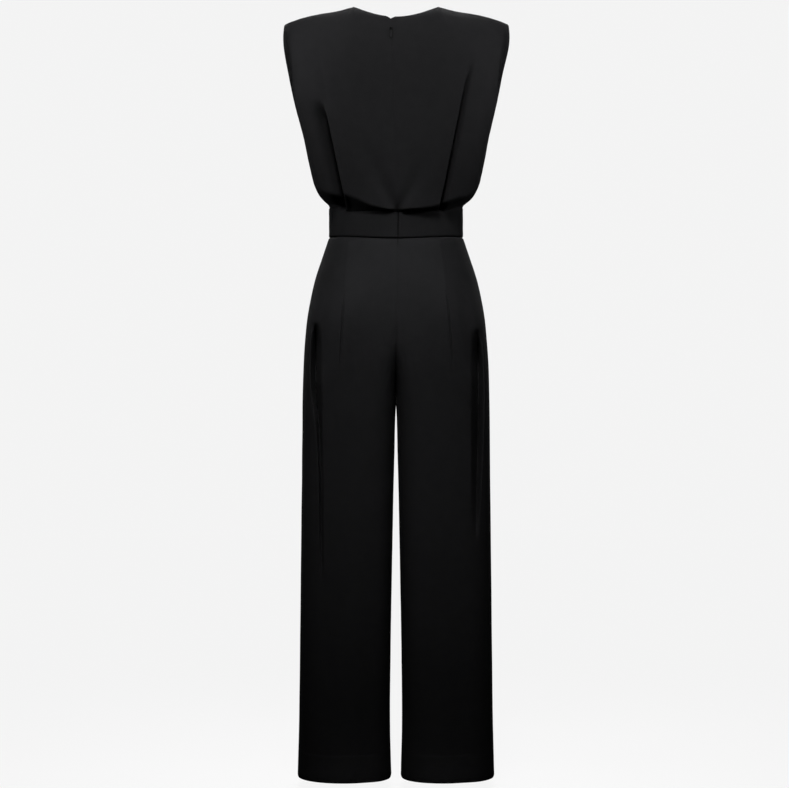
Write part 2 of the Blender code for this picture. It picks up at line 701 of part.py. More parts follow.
def make_slider(frame, material):
    """The slider's plate on the cloth, with two ears that carry the cross pin."""
    plate = bmesh.new()
    half, reach = SLIDER_WIDTH / 2, SLIDER_LENGTH / 2
    corner = half * 0.8
    low, high = SEAT_GAP, SEAT_GAP + SLIDER_PLATE
    outline = arc((0, reach - corner), corner, 90, 0, 4) + [(half, -reach), (-half, -reach)]
    outline += arc((0, reach - corner), corner, 180, 90, 4)[:-1]
    extrude_outline(plate, outline, lambda a, b, d: (a, d, b), low, high)
    slider = link_mesh("zip_slider", plate, material)
    for sign in (1, -1):
        ear = bmesh.new()
        sides = sorted((sign * EAR_INSIDE, sign * (EAR_INSIDE + EAR_THICKNESS)))
        shape = arc((PIN_HEIGHT, 0), EAR_RADIUS, -90, 90, 8)
        shape += [(low + SLIDER_PLATE / 2, EAR_RADIUS), (low + SLIDER_PLATE / 2, -EAR_RADIUS)]
        extrude_outline(ear, shape, along_x, *sides)
        union(slider, link_mesh("ear_left" if sign > 0 else "ear_right", ear, material))
    pin = bmesh.new()
    reach = EAR_INSIDE + EAR_THICKNESS / 2
    circle = arc((PIN_HEIGHT, 0), PIN_RADIUS, 0, 360, ROUND_STEPS)[:-1]
    extrude_outline(pin, circle, along_x, -reach, reach)
    union(slider, link_mesh("slider_pin", pin, material))
    for piece in [slider] + [modifier.object for modifier in slider.modifiers]:
        piece.parent = frame
    return slider


def pull_outline(inset):
    """The teardrop, from a narrow neck down to a round foot, as (x, z) about the hinge."""
    foot = -PULL_LENGTH + PULL_HALF_WIDTH
    points = []
    for share in np.linspace(0, 1, 6):
        half = mix(PULL_NECK_HALF_WIDTH, PULL_HALF_WIDTH, share**0.8)
        points.append((half - inset, mix(-KNUCKLE_RADIUS * 0.6 - inset * 2, foot, share)))
    points += arc((0, foot), PULL_HALF_WIDTH - inset, 0, -90, 6)[1:]
    return points + [(-x, z) for x, z in points[-2::-1]]


def make_pull(frame, material):
    """The teardrop pull: a dished plate on a knuckle round the slider's pin. It hangs with its
    foot against the cloth."""
    mesh = bmesh.new()
    back, front = -PULL_THICKNESS / 2, PULL_THICKNESS / 2
    rim, dish = pull_outline(0), pull_outline(PULL_RIM)
    loops = [
        [mesh.verts.new((x, y, z)) for x, z in outline]
        for outline, y in ((rim, back), (rim, front), (dish, front), (dish, front - PULL_DISH))
    ]
    mesh.faces.new(loops[0])
    mesh.faces.new(loops[-1][::-1])
    for first, second in zip(loops, loops[1:]):
        for i in range(len(first)):
            j = (i + 1) % len(first)
            mesh.faces.new((first[i], first[j], second[j], second[i]))
    pull = link_mesh("zip_pull", mesh, material)

    ring = bmesh.new()
    circles = [
        [ring.verts.new((x, radius * math.cos(a), radius * math.sin(a))) for a in angles]
        for x in (-KNUCKLE_HALF_WIDTH, KNUCKLE_HALF_WIDTH)
        for radius in (KNUCKLE_RADIUS, KNUCKLE_BORE)
        for angles in [np.linspace(0, 2 * math.pi, ROUND_STEPS, endpoint=False)]
    ]
    outer_left, bore_left, outer_right, bore_right = circles
    for first, second in (
        (outer_left, outer_right),
        (outer_right, bore_right),
        (bore_right, bore_left),
        (bore_left, outer_left),
    ):
        for i in range(ROUND_STEPS):
            j = (i + 1) % ROUND_STEPS
            ring.faces.new((first[i], first[j], second[j], second[i]))
    union(pull, link_mesh("pull_knuckle", ring, material))
    hinge = bpy.data.objects.new("pull_hinge", None)
    bpy.context.scene.collection.objects.link(hinge)
    hinge.parent = frame
    hinge.location = (0, PIN_HEIGHT, 0)
    drop_to_cloth = PIN_HEIGHT - PULL_THICKNESS / 2 - SEAT_GAP
    hinge.rotation_euler = (-math.asin(drop_to_cloth / PULL_LENGTH), 0, 0)
    for piece in (pull, pull.modifiers[0].object):
        piece.parent = hinge
    return pull


# ---------------------------------------------------------------- the jumpsuit


def main():
    for old in list(bpy.data.objects):
        bpy.data.objects.remove(old)
    crepe = make_material("black_crepe", BLACK_CREPE, 0.75, 0)
    tape = make_material("black_tape", BLACK_TAPE, 0.85, 0)
    enamel = make_material("black_enamel", BLACK_ENAMEL, 0.35, 0)

    make_front("bodice_front", bodice_half, CLOTH_WALL, crepe)
    make_front("waistband_front", band_half, BAND_WALL, crepe)
    for side, word in ((1, "left"), (-1, "right")):
        make_back("bodice_back_" + word, bodice_half, side, CLOTH_WALL, crepe)
        make_back("waistband_back_" + word, band_half, side, BAND_WALL, crepe)
        for face, place in ((1, "back"), (-1, "front")):
            form = trouser_panel_form(face, side)
            make_wall(f"trouser_{place}_{word}", *form, CLOTH_WALL, crepe)

    make_tape(tape)
    frame = zip_frame()
    make_slider(frame, enamel)
    make_pull(frame, enamel)


main()
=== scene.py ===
"""The looks of a sleeveless wide-leg jumpsuit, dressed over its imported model.

Each cloth piece is the surface of its solid, sampled finely, with its creases, darts, seams and
turned edges added. Metres, +Z up, the front facing -Y and the wearer's left at +X.
"""

import math

import bmesh
import bpy
import numpy as np
from mathutils import Matrix, Vector


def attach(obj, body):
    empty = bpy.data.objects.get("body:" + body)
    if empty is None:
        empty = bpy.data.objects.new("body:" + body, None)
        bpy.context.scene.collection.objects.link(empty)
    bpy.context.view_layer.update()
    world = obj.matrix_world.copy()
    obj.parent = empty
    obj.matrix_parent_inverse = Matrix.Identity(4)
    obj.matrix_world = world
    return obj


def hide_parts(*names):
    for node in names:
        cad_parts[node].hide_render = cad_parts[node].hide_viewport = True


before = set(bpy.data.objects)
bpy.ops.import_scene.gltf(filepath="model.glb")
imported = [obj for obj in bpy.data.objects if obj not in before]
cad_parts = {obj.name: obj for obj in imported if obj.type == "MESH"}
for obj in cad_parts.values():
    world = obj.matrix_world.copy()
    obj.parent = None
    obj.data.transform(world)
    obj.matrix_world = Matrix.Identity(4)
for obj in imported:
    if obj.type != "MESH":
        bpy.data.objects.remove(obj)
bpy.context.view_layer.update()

# ---------------------------------------------------------------- sizes shared with the solids

CLOTH_WALL = 0.0015
BAND_WALL = 0.0024
SEAM_GAP = 0.00006

NECK_POINT_Z = -0.0004
NECK_BACK_DROP = 0.0251
NECK_FRONT_DROP = 0.080
UNDERARM_Z = -0.249
BULGE_ENDS_Z = -0.330
BAND_TOP_Z = -0.3870
BAND_BOTTOM_Z = -0.4450
SEAM_DIP_ENDS_Z = -0.56
LEGS_PART_Z = -0.500
LEGS_PART_HEIGHT = 0.160
VALLEY_Z = -0.610
VALLEY_LIP = 0.960
VALLEY_CURVE = 2.2
VALLEY_ROUNDNESS = 0.75
CROTCH_Z = -0.770
HEM_FOLD_Z = -1.431
HEM_Z = -1.482

# How far each waist seam dips at the centre back, and over what share of the way from the side.
BAND_TOP_DIP = (0.0120, 0.35)
BAND_BOTTOM_DIP = (0.0065, 1.0)

NECK_HALF_WIDTH = 0.083
NECK_BACK_CURVE = 2.0
NECK_FRONT_CURVE = 2.4
NECK_FRONT_ROUNDNESS = 0.85
NECK_BACK = 0.058
NECK_FRONT = 0.072
SHOULDER_HALF_WIDTH = 0.2155
ARMHOLE_HALF_DEPTH = 0.058
ARMHOLE_ROUNDNESS = 0.55
BULGE_REACH = 7
BULGE_ROUND_REACH = 4
BULGE_END_REACH = 6
BULGE_FADE = 2
NECK_POINT_EASE = 0.15
NECK_POINT_EASE_ROWS = 0.22
SHOULDER_END_SHARE = 0.15
WAIST_HALF_WIDTH = 0.1293
WAIST_BACK = 0.0930
WAIST_FRONT = 0.0910
NECK_SHARE = 0.36
EDGE_SHARE = 0.12
SEAM_SHARE = 0.2
SEAM_SHARE_ENDS = 0.1
TUCKED_HEIGHT = 0.005
TURN_SHARE = 0.6
TUCK_SHARE = 0.92
TUCK_RISE = 0.15
NOTCH_DEPTH = 0.005
NOTCH_HALF_WIDTH = 0.0082


def table(names, *rows):
    """A short table as {column name: array}."""
    return dict(zip(names.split(), np.array(rows, float).T))


# How fast each face fills out below the top edge, and how round its turn is at the neck and on
# the shoulder's ridge.
SHOULDER_FORM = {1: (5.0, 1.3, 2.0), -1: (3.6, 1.2, 1.8)}

SHOULDER_RIDGE = table(
    "x z",
    (0.0830, -0.0004),
    (0.0932, -0.0028),
    (0.1000, -0.0048),
    (0.1174, -0.0087),
    (0.1436, -0.0126),
    (0.1640, -0.0165),
    (0.1801, -0.0204),
    (0.1928, -0.0242),
    (0.2044, -0.0282),
    (0.2155, -0.0335),
)

BODICE_HANG = table(
    "z half_width back front square right_extra",
    (-0.0310, 0.2155, 0.0930, 0.1000, 2.4, 0.0018),
    (-0.0740, 0.2150, 0.0970, 0.1050, 2.6, 0.0012),
    (-0.1360, 0.2058, 0.1020, 0.1130, 2.8, -0.0020),
    (-0.1980, 0.1924, 0.1055, 0.1190, 2.9, -0.0012),
    (-0.2490, 0.1789, 0.1070, 0.1220, 2.9, 0.0008),
    (-0.2895, 0.1705, 0.1070, 0.1240, 2.8, 0.0018),
    (-0.3200, 0.1638, 0.1062, 0.1245, 2.7, 0.0022),
    (-0.3435, 0.1582, 0.1052, 0.1240, 2.6, 0.0026),
    (-0.3700, 0.1540, 0.1038, 0.1230, 2.5, 0.0010),
    (-0.3950, 0.1520, 0.1025, 0.1220, 2.5, 0.0000),
)

# The blouse's turn into the waistband, from the centre (0) to the side seam (1): how far its
# lower edge is above the waist seam on each side of the wearer, and how rounded that edge is.
BODICE_TURN = table(
    "around edge_left edge_right rounding",
    (0.00, 0.0002, 0.0002, 0.0045),
    (0.07, 0.0008, 0.0006, 0.0048),
    (0.20, 0.0075, 0.0024, 0.0055),
    (0.35, 0.0240, 0.0087, 0.0058),
    (0.44, 0.0305, 0.0170, 0.0062),
    (0.53, 0.0275, 0.0204, 0.0068),
    (0.70, 0.0272, 0.0190, 0.0080),
    (0.85, 0.0285, 0.0235, 0.0150),
    (1.00, 0.0290, 0.0292, 0.0290),
)

TROUSERS = table(
    "z half_width back front outer_square inner_square",
    (-0.4450, 0.1293, 0.0930, 0.0910, 2.00, 6.5),
    (-0.4670, 0.1367, 0.1000, 0.0935, 2.05, 6.5),
    (-0.4860, 0.1431, 0.1055, 0.0960, 2.10, 6.5),
    (-0.5250, 0.1556, 0.1155, 0.1000, 2.25, 6.5),
    (-0.5640, 0.1646, 0.1222, 0.1030, 2.40, 6.5),
    (-0.6020, 0.1711, 0.1262, 0.1050, 2.60, 6.5),
    (-0.6410, 0.1746, 0.1272, 0.1060, 2.80, 6.3),
    (-0.6800, 0.1773, 0.1260, 0.1060, 2.90, 5.6),
    (-0.7570, 0.1795, 0.1200, 0.1040, 3.10, 4.2),
    (-0.8530, 0.1805, 0.1120, 0.1010, 3.20, 3.6),
    (-1.0460, 0.1828, 0.1050, 0.0990, 3.10, 3.6),
    (-1.2400, 0.1849, 0.1010, 0.0970, 2.80, 3.5),
    (-1.3940, 0.1872, 0.0960, 0.0940, 2.40, 3.0),
    (-1.4400, 0.1884, 0.0950, 0.0935, 2.25, 2.8),
    (-1.4820, 0.1896, 0.0985, 0.0955, 2.10, 2.5),
)

LEG_GAP = table(
    "z half_gap",
    (-0.7700, 0.0002),
    (-0.7780, 0.0007),
    (-0.7900, 0.0013),
    (-0.8530, 0.0028),
    (-0.9300, 0.0048),
    (-1.0100, 0.0064),
    (-1.0850, 0.0078),
    (-1.2400, 0.0104),
    (-1.4000, 0.0112),
    (-1.4820, 0.0090),
)

# How far round to the wearer's left the centre-back seam lies, as a share of the way to the side.
CENTRE_SWAY = table(
    "z share",
    (0.050, 0.0260),
    (-0.070, 0.0250),
    (-0.120, 0.0150),
    (-0.200, 0.0105),
    (-0.300, -0.0040),
    (-0.390, -0.0205),
    (-0.460, -0.0165),
    (-0.600, -0.0045),
    (-0.700, 0.0000),
)

# ---------------------------------------------------------------- folds

# Troughs in the cloth, each along a line from its top to its foot. bow curves the line sideways,
# width is the half-width and depth the depth at each end. gentle makes the trough's far wall
# that many times wider: the +X wall where it is positive, and the -X wall where it is negative.
# ridge raises the cloth beside the trough's steep wall.
FOLD_COLUMNS = (
    "x_top z_top x_foot z_foot bow width_top width_foot depth_top depth_foot ridge gentle"
)

# Where a trough deepens and where it ends, as shares of its length, and the place and width of
# the ridge beside it, as multiples of its half-width.
FOLD_SHOWN = (0, 0.2, 1, 1.25)
RIDGE_PLACE = 2.4
RIDGE_WIDTH = 1.2

BACK_BODICE_FOLDS = table(
    FOLD_COLUMNS,
    (0.1465, -0.186, 0.1010, -0.394, 0.0000, 0.0054, 0.0042, 0.0150, 0.0370, 0.10, 2.6),
    (0.1500, -0.080, 0.1335, -0.185, 0.0000, 0.0060, 0.0060, 0.0010, 0.0016, 0.00, 1.6),
    (-0.1490, -0.095, -0.0880, -0.394, 0.000, 0.0038, 0.0035, 0.0036, 0.0230, 0.00, -1.0),
    (0.0660, -0.250, 0.0010, -0.394, 0.002, 0.0180, 0.0090, 0.0000, 0.0048, 0.00, 1.3),
    (-0.0640, -0.285, -0.0060, -0.394, -0.002, 0.0160, 0.0090, 0.0000, 0.0038, 0.00, -1.3),
)

FRONT_BODICE_FOLDS = table(
    FOLD_COLUMNS,
    (0.120, -0.150, 0.088, -0.390, 0.004, 0.0090, 0.0070, 0.0010, 0.0140, 0.12, 2.0),
    (-0.116, -0.130, -0.084, -0.390, -0.004, 0.0070, 0.0050, 0.0010, 0.0140, 0.10, -2.0),
    (0.052, -0.270, 0.038, -0.390, 0.000, 0.0110, 0.0070, 0.0000, 0.0070, 0.20, 1.5),
    (-0.046, -0.280, -0.034, -0.390, 0.000, 0.0110, 0.0070, 0.0000, 0.0060, 0.20, -1.5),
)

BACK_LEG_FOLDS = table(
    FOLD_COLUMNS,
    (0.1290, -0.500, 0.1460, -0.680, 0.000, 0.0130, 0.0140, 0.0040, 0.0070, 0.00, 1.2),
    (-0.1270, -0.500, -0.1440, -0.680, 0.000, 0.0130, 0.0140, 0.0040, 0.0070, 0.00, -1.2),
    (0.048, -0.700, 0.056, -1.470, -0.008, 0.0200, 0.0220, 0.0000, 0.0040, 0.00, 1.0),
    (-0.120, -0.900, -0.128, -1.484, 0.000, 0.0200, 0.0240, 0.0000, 0.0050, 0.00, 1.0),
)

FRONT_LEG_FOLDS = table(
    FOLD_COLUMNS,
    (0.140, -0.600, 0.146, -1.484, 0.000, 0.0120, 0.0160, 0.0010, 0.0060, 0.15, 1.3),
    (-0.144, -0.620, -0.140, -1.300, 0.000, 0.0110, 0.0150, 0.0010, 0.0060, 0.15, -1.3),
    (0.060, -0.850, 0.050, -1.484, 0.000, 0.0200, 0.0220, 0.0000, 0.0050, 0.00, 1.0),
    (-0.064, -0.820, -0.056, -1.484, 0.000, 0.0200, 0.0220, 0.0000, 0.0050, 0.00, 1.0),
)

# The deep fold down the outer side of each trouser back, from its inner edge to its outer edge,
# as distances from the middle. The cloth falls away from the inner edge, and returns over the
# last FOLD_RETURN of the way. A FOLD_EDGE above 1 softens both edges of this V.
LEFT_LEG_FOLD = table(
    "z inner outer depth",
    (-0.610, 0.1408, 0.1615, 0.0000),
    (-0.645, 0.1404, 0.1622, 0.0400),
    (-0.740, 0.1398, 0.1610, 0.0500),
    (-0.800, 0.1390, 0.1520, 0.0360),
    (-0.860, 0.1382, 0.1480, 0.0270),
    (-1.000, 0.1370, 0.1455, 0.0160),
    (-1.100, 0.1360, 0.1440, 0.0000),
)
RIGHT_LEG_FOLD = table(
    "z inner outer depth",
    (-0.622, 0.1400, 0.1640, 0.0000),
    (-0.668, 0.1402, 0.1668, 0.0380),
    (-0.760, 0.1406, 0.1680, 0.0460),
    (-0.860, 0.1410, 0.1650, 0.0380),
    (-0.940, 0.1414, 0.1610, 0.0200),
    (-1.020, 0.1418, 0.1580, 0.0000),
)
FOLD_RETURN = 0.42
FOLD_EDGE = 1.4

# The pressed line of each long dart on the trouser backs: the cloth is flat towards the seat
# and turns away outside the line, over the given width. groove is the stitched end of the dart
# below groove_z.
DART_COLUMNS = "x_top z_top x_foot z_foot bow width height groove groove_z"
BACK_DARTS = table(
    DART_COLUMNS,
    (0.0900, -0.448, 0.1050, -0.690, 0.0012, 0.022, 0.0066, 0.0040, -0.575),
    (-0.0830, -0.448, -0.1065, -0.700, -0.0020, 0.022, 0.0066, 0.0040, -0.575),
)
# Where a dart's line comes up and dies away, as shares of its length, and how many times wider
# its rise is on the flat side.
DART_SHOWN = (-0.02, 0.04, 0.5, 1.3)
DART_FLAT_TIMES = 2.6
GROOVE_HALF_WIDTH = 0.0012
# How far beyond its ends a groove still shows, and the height over which it fades, at its top
# and at its foot.
GROOVE_TOP = (0.03, 0.04)
GROOVE_FOOT = (0.01, 0.03)

# ---------------------------------------------------------------- sampling and edges

SECTION_SAMPLES = 361
RISE_ROWS = 90
UPPER_ROWS = 74
UPPER_ROWS_CROWD = 1.7
BODICE_HANG_ROWS = UPPER_ROWS + 33

# The rows or columns of each grid: how many, then (place, reach, times) for each place where
# they lie closer together, which are its edges and its folds.
BODICE_BACK_COLUMNS = (150, (0, 0.010, 3), (1, 0.014, 6), (0.45, 0.055, 3.0))
BODICE_FRONT_COLUMNS = (100, (1, 0.014, 6), (0.38, 0.08, 1.2))
BODICE_UPPER_ROWS = (UPPER_ROWS, (0, 0.012, 4))
BODICE_TURN_ROWS = (34, (TURN_SHARE / 2, 0.2, 2))
BAND_COLUMNS = (90, (0, 0.012, 4), (1, 0.012, 4))
BAND_ROWS = (26, (0, 0.03, 4), (1, 0.03, 4))
LEG_BACK_COLUMNS = (190, (0, 0.010, 5), (1, 0.010, 5), (0.42, 0.045, 4.0), (0.71, 0.07, 2.2))
LEG_FRONT_COLUMNS = (112, (0, 0.010, 5), (1, 0.010, 5), (0.5, 0.12, 1.0))
RISE_LEVELS = (RISE_ROWS, (0, 0.008, 4))
HEM_SHARE = (HEM_FOLD_Z - CROTCH_Z) / (HEM_Z - CROTCH_Z)
LEG_LEVELS = (112, (1, 0.004, 4), (HEM_SHARE, 0.006, 4))

# The turned edges, the puckers beside the seams and the cloth's slight unevenness.
ROLL_DEPTH = 0.0011
ROLL_WIDTH = 0.0017
PUCKER = 0.00022
PUCKER_LENGTH = 0.016
PUCKER_PLACE = 0.004
PUCKER_REACH = 0.009
PUCKER_STARTS = 0.002
UNEVENNESS = 0.00045
UNEVEN_LENGTH = 0.075
UNEVEN_STARTS = 0.03
HEM_STEP = 0.0007
HEM_STEP_REACH = 0.003

# How far the waistband and the seat open over the zip on each side, and where.
ZIP_OPEN = 0.0009
ZIP_OPEN_REACH = 0.006
ZIP_OPEN_TOP_Z = BAND_TOP_Z - 0.9 * BAND_TOP_DIP[0]
ZIP_OPEN_FOOT_Z = -0.468
ZIP_OPEN_FADE = 0.010

# Colours as linear red, green and blue.
CREPE_DARK = (0.0088, 0.0088, 0.0094, 1)
CREPE_LIGHT = (0.0118, 0.0118, 0.0124, 1)
# The zip tape's two thread colours are a black tape painted far darker than the crepe, as painted
# shade for the gap over the zip.
SHADED_TAPE_DARK = (0.0010, 0.0010, 0.0011, 1)
SHADED_TAPE_LIGHT = (0.0026, 0.0026, 0.0028, 1)
# The dark enamel is the black of the slider and the pull's knuckle, and round the pull's rim it is
# also painted shade. The pull's dished middle is in the lighter enamel below it.
ENAMEL = (0.0022, 0.0022, 0.0024, 1)
PULL_MIDDLE_ENAMEL = (0.0090, 0.0090, 0.0096, 1)
BACKDROP = (0.913, 0.913, 0.913, 1)


# ---------------------------------------------------------------- small maths


def curve(values, name, at, key="z"):
    """Reads a table's column at the given places, along a smooth curve through its rows."""
    order = np.argsort(values[key])
    xs, ys = values[key][order], values[name][order]
    slopes = np.gradient(ys, xs)
    at = np.clip(at, xs[0], xs[-1])
    i = np.clip(np.searchsorted(xs, at) - 1, 0, len(xs) - 2)
    span = xs[i + 1] - xs[i]
    t = (at - xs[i]) / span
    start = (1 + 2 * t) * (1 - t) ** 2 * ys[i] + t * (1 - t) ** 2 * span * slopes[i]
    end = t * t * (3 - 2 * t) * ys[i + 1] + t * t * (t - 1) * span * slopes[i + 1]
    return start + end


def unit(vectors):
    return vectors / np.maximum(np.linalg.norm(vectors, axis=-1, keepdims=True), 1e-9)


def ease(value):
    """0 up to 0, 1 from 1, and smooth between."""
    value = np.clip(value, 0, 1)
    return value * value * (3 - 2 * value)


def between(value, start, full, fades, end):
    """0 outside start to end, 1 from full to fades, and smooth between."""
    return ease((value - start) / (full - start)) * ease((end - value) / (end - fades))


def mix(a, b, share):
    return a + (b - a) * share


def rows_of(values, columns):
    return zip(*(values[name] for name in columns.split()))


def graded(count, *dense):
    """Shares from 0 to 1, closer together round each (place, reach, times)."""
    share = np.linspace(0, 1, 4001)
    density = np.ones_like(share)
    for place, reach, times in dense:
        density += times * np.exp(-(((share - place) / reach) ** 2))
    total = np.concatenate(((0,), np.cumsum((density[1:] + density[:-1]) / 2)))
    return np.interp(np.linspace(0, 1, count), total / total[-1], share)


def fold_depth(folds, x, z):
    """How far the cloth is pressed in at (x, z), negative where it is raised."""
    total = np.zeros(np.broadcast(x, z).shape)
    for row in rows_of(folds, FOLD_COLUMNS):
        x_top, z_top, x_foot, z_foot, bow, width_top, width_foot, depth_top, depth_foot = row[:9]
        ridge, gentle = row[9:]
        along = (z_top - z) / (z_top - z_foot)
        line = mix(x_top, x_foot, along) + bow * 4 * along * (1 - along)
        width = mix(width_top, width_foot, np.clip(along, 0, 1))
        depth = mix(depth_top, depth_foot, np.clip(along, 0, 1)) * between(along, *FOLD_SHOWN)
        across = (x - line) / width * np.sign(gentle)
        across = np.where(across > 0, across / abs(gentle), across)
        beside = np.exp(-(((across + RIDGE_PLACE) / RIDGE_WIDTH) ** 2))
        total += depth * (np.exp(-across * across) - ridge * beside)
    return total


def deep_fold(fold, x, z):
    """How far the fold down the side of a trouser back is pressed in, at a height."""
    inner, outer = curve(fold, "inner", z), curve(fold, "outer", z)
    across = (np.abs(x) - inner) / (outer - inner)
    fall, rise = across / (1 - FOLD_RETURN), (1 - across) / FOLD_RETURN
    return max(curve(fold, "depth", z), 0) * np.clip(np.minimum(fall, rise), 0, 1) ** FOLD_EDGE


def dart_height(darts, x, z):
    """How far the pressed line of a dart stands up at (x, z), less its groove."""
    total = np.zeros(np.broadcast(x, z).shape)
    for row in rows_of(darts, DART_COLUMNS):
        x_top, z_top, x_foot, z_foot, bow, width, height, groove, groove_z = row
        along = (z_top - z) / (z_top - z_foot)
        line = mix(x_top, x_foot, along) + bow * 4 * along * (1 - along)
        outside = (x - line) * np.sign(line)
        reach = np.where(outside > 0, width, width * DART_FLAT_TIMES)
        ridge = height * np.exp(-np.abs(outside) / reach) * between(along, *DART_SHOWN)
        (above, deepens), (below, fades) = GROOVE_TOP, GROOVE_FOOT
        stitched = ease((groove_z + above - z) / deepens) * ease((z - z_foot + below) / fades)
        total += ridge - groove * stitched * np.exp(-(((x - line) / GROOVE_HALF_WIDTH) ** 2))
    return total


def waves(points, length, seed):
    """Soft unevenness from -1 to 1 with bumps of about the given length."""
    random = np.random.default_rng(seed)
    total = np.zeros(points.shape[:-1])
    for _ in range(6):
        direction = unit(random.normal(size=3))
        step = 2 * math.pi / (length * random.uniform(0.7, 1.6))
        total += np.sin(points @ direction * step + random.uniform(0, 2 * math.pi))
    return total / 6


# ---------------------------------------------------------------- the cloth's outer surface


def back_dip(dip, x, y):
    """How far a waist seam dips at (x, y): most at the centre back, nothing at the front."""
    depth, reach = dip
    return depth * ease((1 - np.abs(x) / WAIST_HALF_WIDTH) / reach) * (y > 0)


def from_seam(face, side, around, z):
    """Shares of the way round for columns that start at the centre seam at height z."""
    start = side * curve(CENTRE_SWAY, "share", z) * (face > 0)
    return around + start * np.clip(1 - around / NECK_SHARE, 0, 1) ** 2


def top_edge(face, around):
    """The bodice's top edge, along the neck and then the shoulder seam: (x, y, z)."""
    reach = np.abs(around)
    neck_angle = np.clip(reach / NECK_SHARE, 0, 1) * math.pi / 2
    neck = np.sin(neck_angle)
    shoulder = np.clip((reach - NECK_SHARE) / (1 - NECK_SHARE), 0, 1)
    x = NECK_HALF_WIDTH * neck + (SHOULDER_HALF_WIDTH - NECK_HALF_WIDTH) * shoulder
    if face > 0:
        y = NECK_BACK * np.cos(neck_angle)
        z = NECK_POINT_Z - NECK_BACK_DROP * (1 - neck**NECK_BACK_CURVE)
    else:
        y = -NECK_FRONT * np.cos(neck_angle)
        drop = (1 - neck**NECK_FRONT_CURVE) ** NECK_FRONT_ROUNDNESS
        z = NECK_POINT_Z - NECK_FRONT_DROP * drop
    ridge = curve(SHOULDER_RIDGE, "z", x, "x")
    return np.copysign(x, around), y, np.where(shoulder > 0, ridge, z)


def hang(face, around, z):
    """The bodice where it hangs free: (x, y) at a share of the way round and a height."""
    across = np.sin(around * math.pi / 2)
    depth = curve(BODICE_HANG, "back" if face > 0 else "front", z)
    square = curve(BODICE_HANG, "square", z)
    inwards = (1 - np.abs(across) ** square) ** (1 / square)
    return curve(BODICE_HANG, "half_width", z) * across, face * depth * inwards


def armhole_bulge(face, around, z_top, z):
    """How far the cloth stands back (or forward) beside the armhole. At the side it ends at the
    underarm, and further in it fades out lower down."""
    around = np.abs(around)
    z_end = mix(BULGE_ENDS_Z, UNDERARM_Z, around**BULGE_END_REACH)
    share = np.clip((z_top - z) / (z_top - z_end), 0, 1)
    roundness = mix(BULGE_FADE, ARMHOLE_ROUNDNESS, around**BULGE_ROUND_REACH)
    arch = np.abs(np.sin(math.pi * share)) ** roundness
    return face * ARMHOLE_HALF_DEPTH * arch * around**BULGE_REACH


def eased_top(face, around, reach):
    """The top edge's offset from the hanging cloth in x, and its y, with the corner at the neck
    point eased over the given share of the way round."""
    reach = reach * ease((1 - around) / SHOULDER_END_SHARE)
    steps = np.linspace(-1, 1, 9)
    weights = np.cos(steps * math.pi / 2.4) ** 2
    x_total = y_total = 0
    for step, weight in zip(steps, weights / weights.sum()):
        x, y, z = top_edge(face, around + step * reach)
        x_hang, _ = hang(face, around + step * reach, z)
        x_total = x_total + weight * (x - x_hang)
        y_total = y_total + weight * y
    return x_total, y_total


def waist_ring(face, around):
    """The waist's plan: (x, y) at a share of the way round from the centre to the side."""
    angle = around * math.pi / 2
    depth = WAIST_BACK if face > 0 else WAIST_FRONT
    return WAIST_HALF_WIDTH * np.sin(angle), face * depth * np.cos(angle)


def turned_in(start, corner, end, rounding, row):
    """A point on a path from start round a corner and straight on to the end."""
    reach = rounding / np.maximum(np.linalg.norm(end - corner, axis=-1, keepdims=True), 1e-6)
    leave = mix(corner, end, np.clip(reach, 0, 0.9))
    if row > TURN_SHARE:
        return mix(leave, end, (row - TURN_SHARE) / (TUCK_SHARE - TURN_SHARE))
    t = row / TURN_SHARE
    return (1 - t) ** 2 * start + 2 * t * (1 - t) * corner + t * t * leave


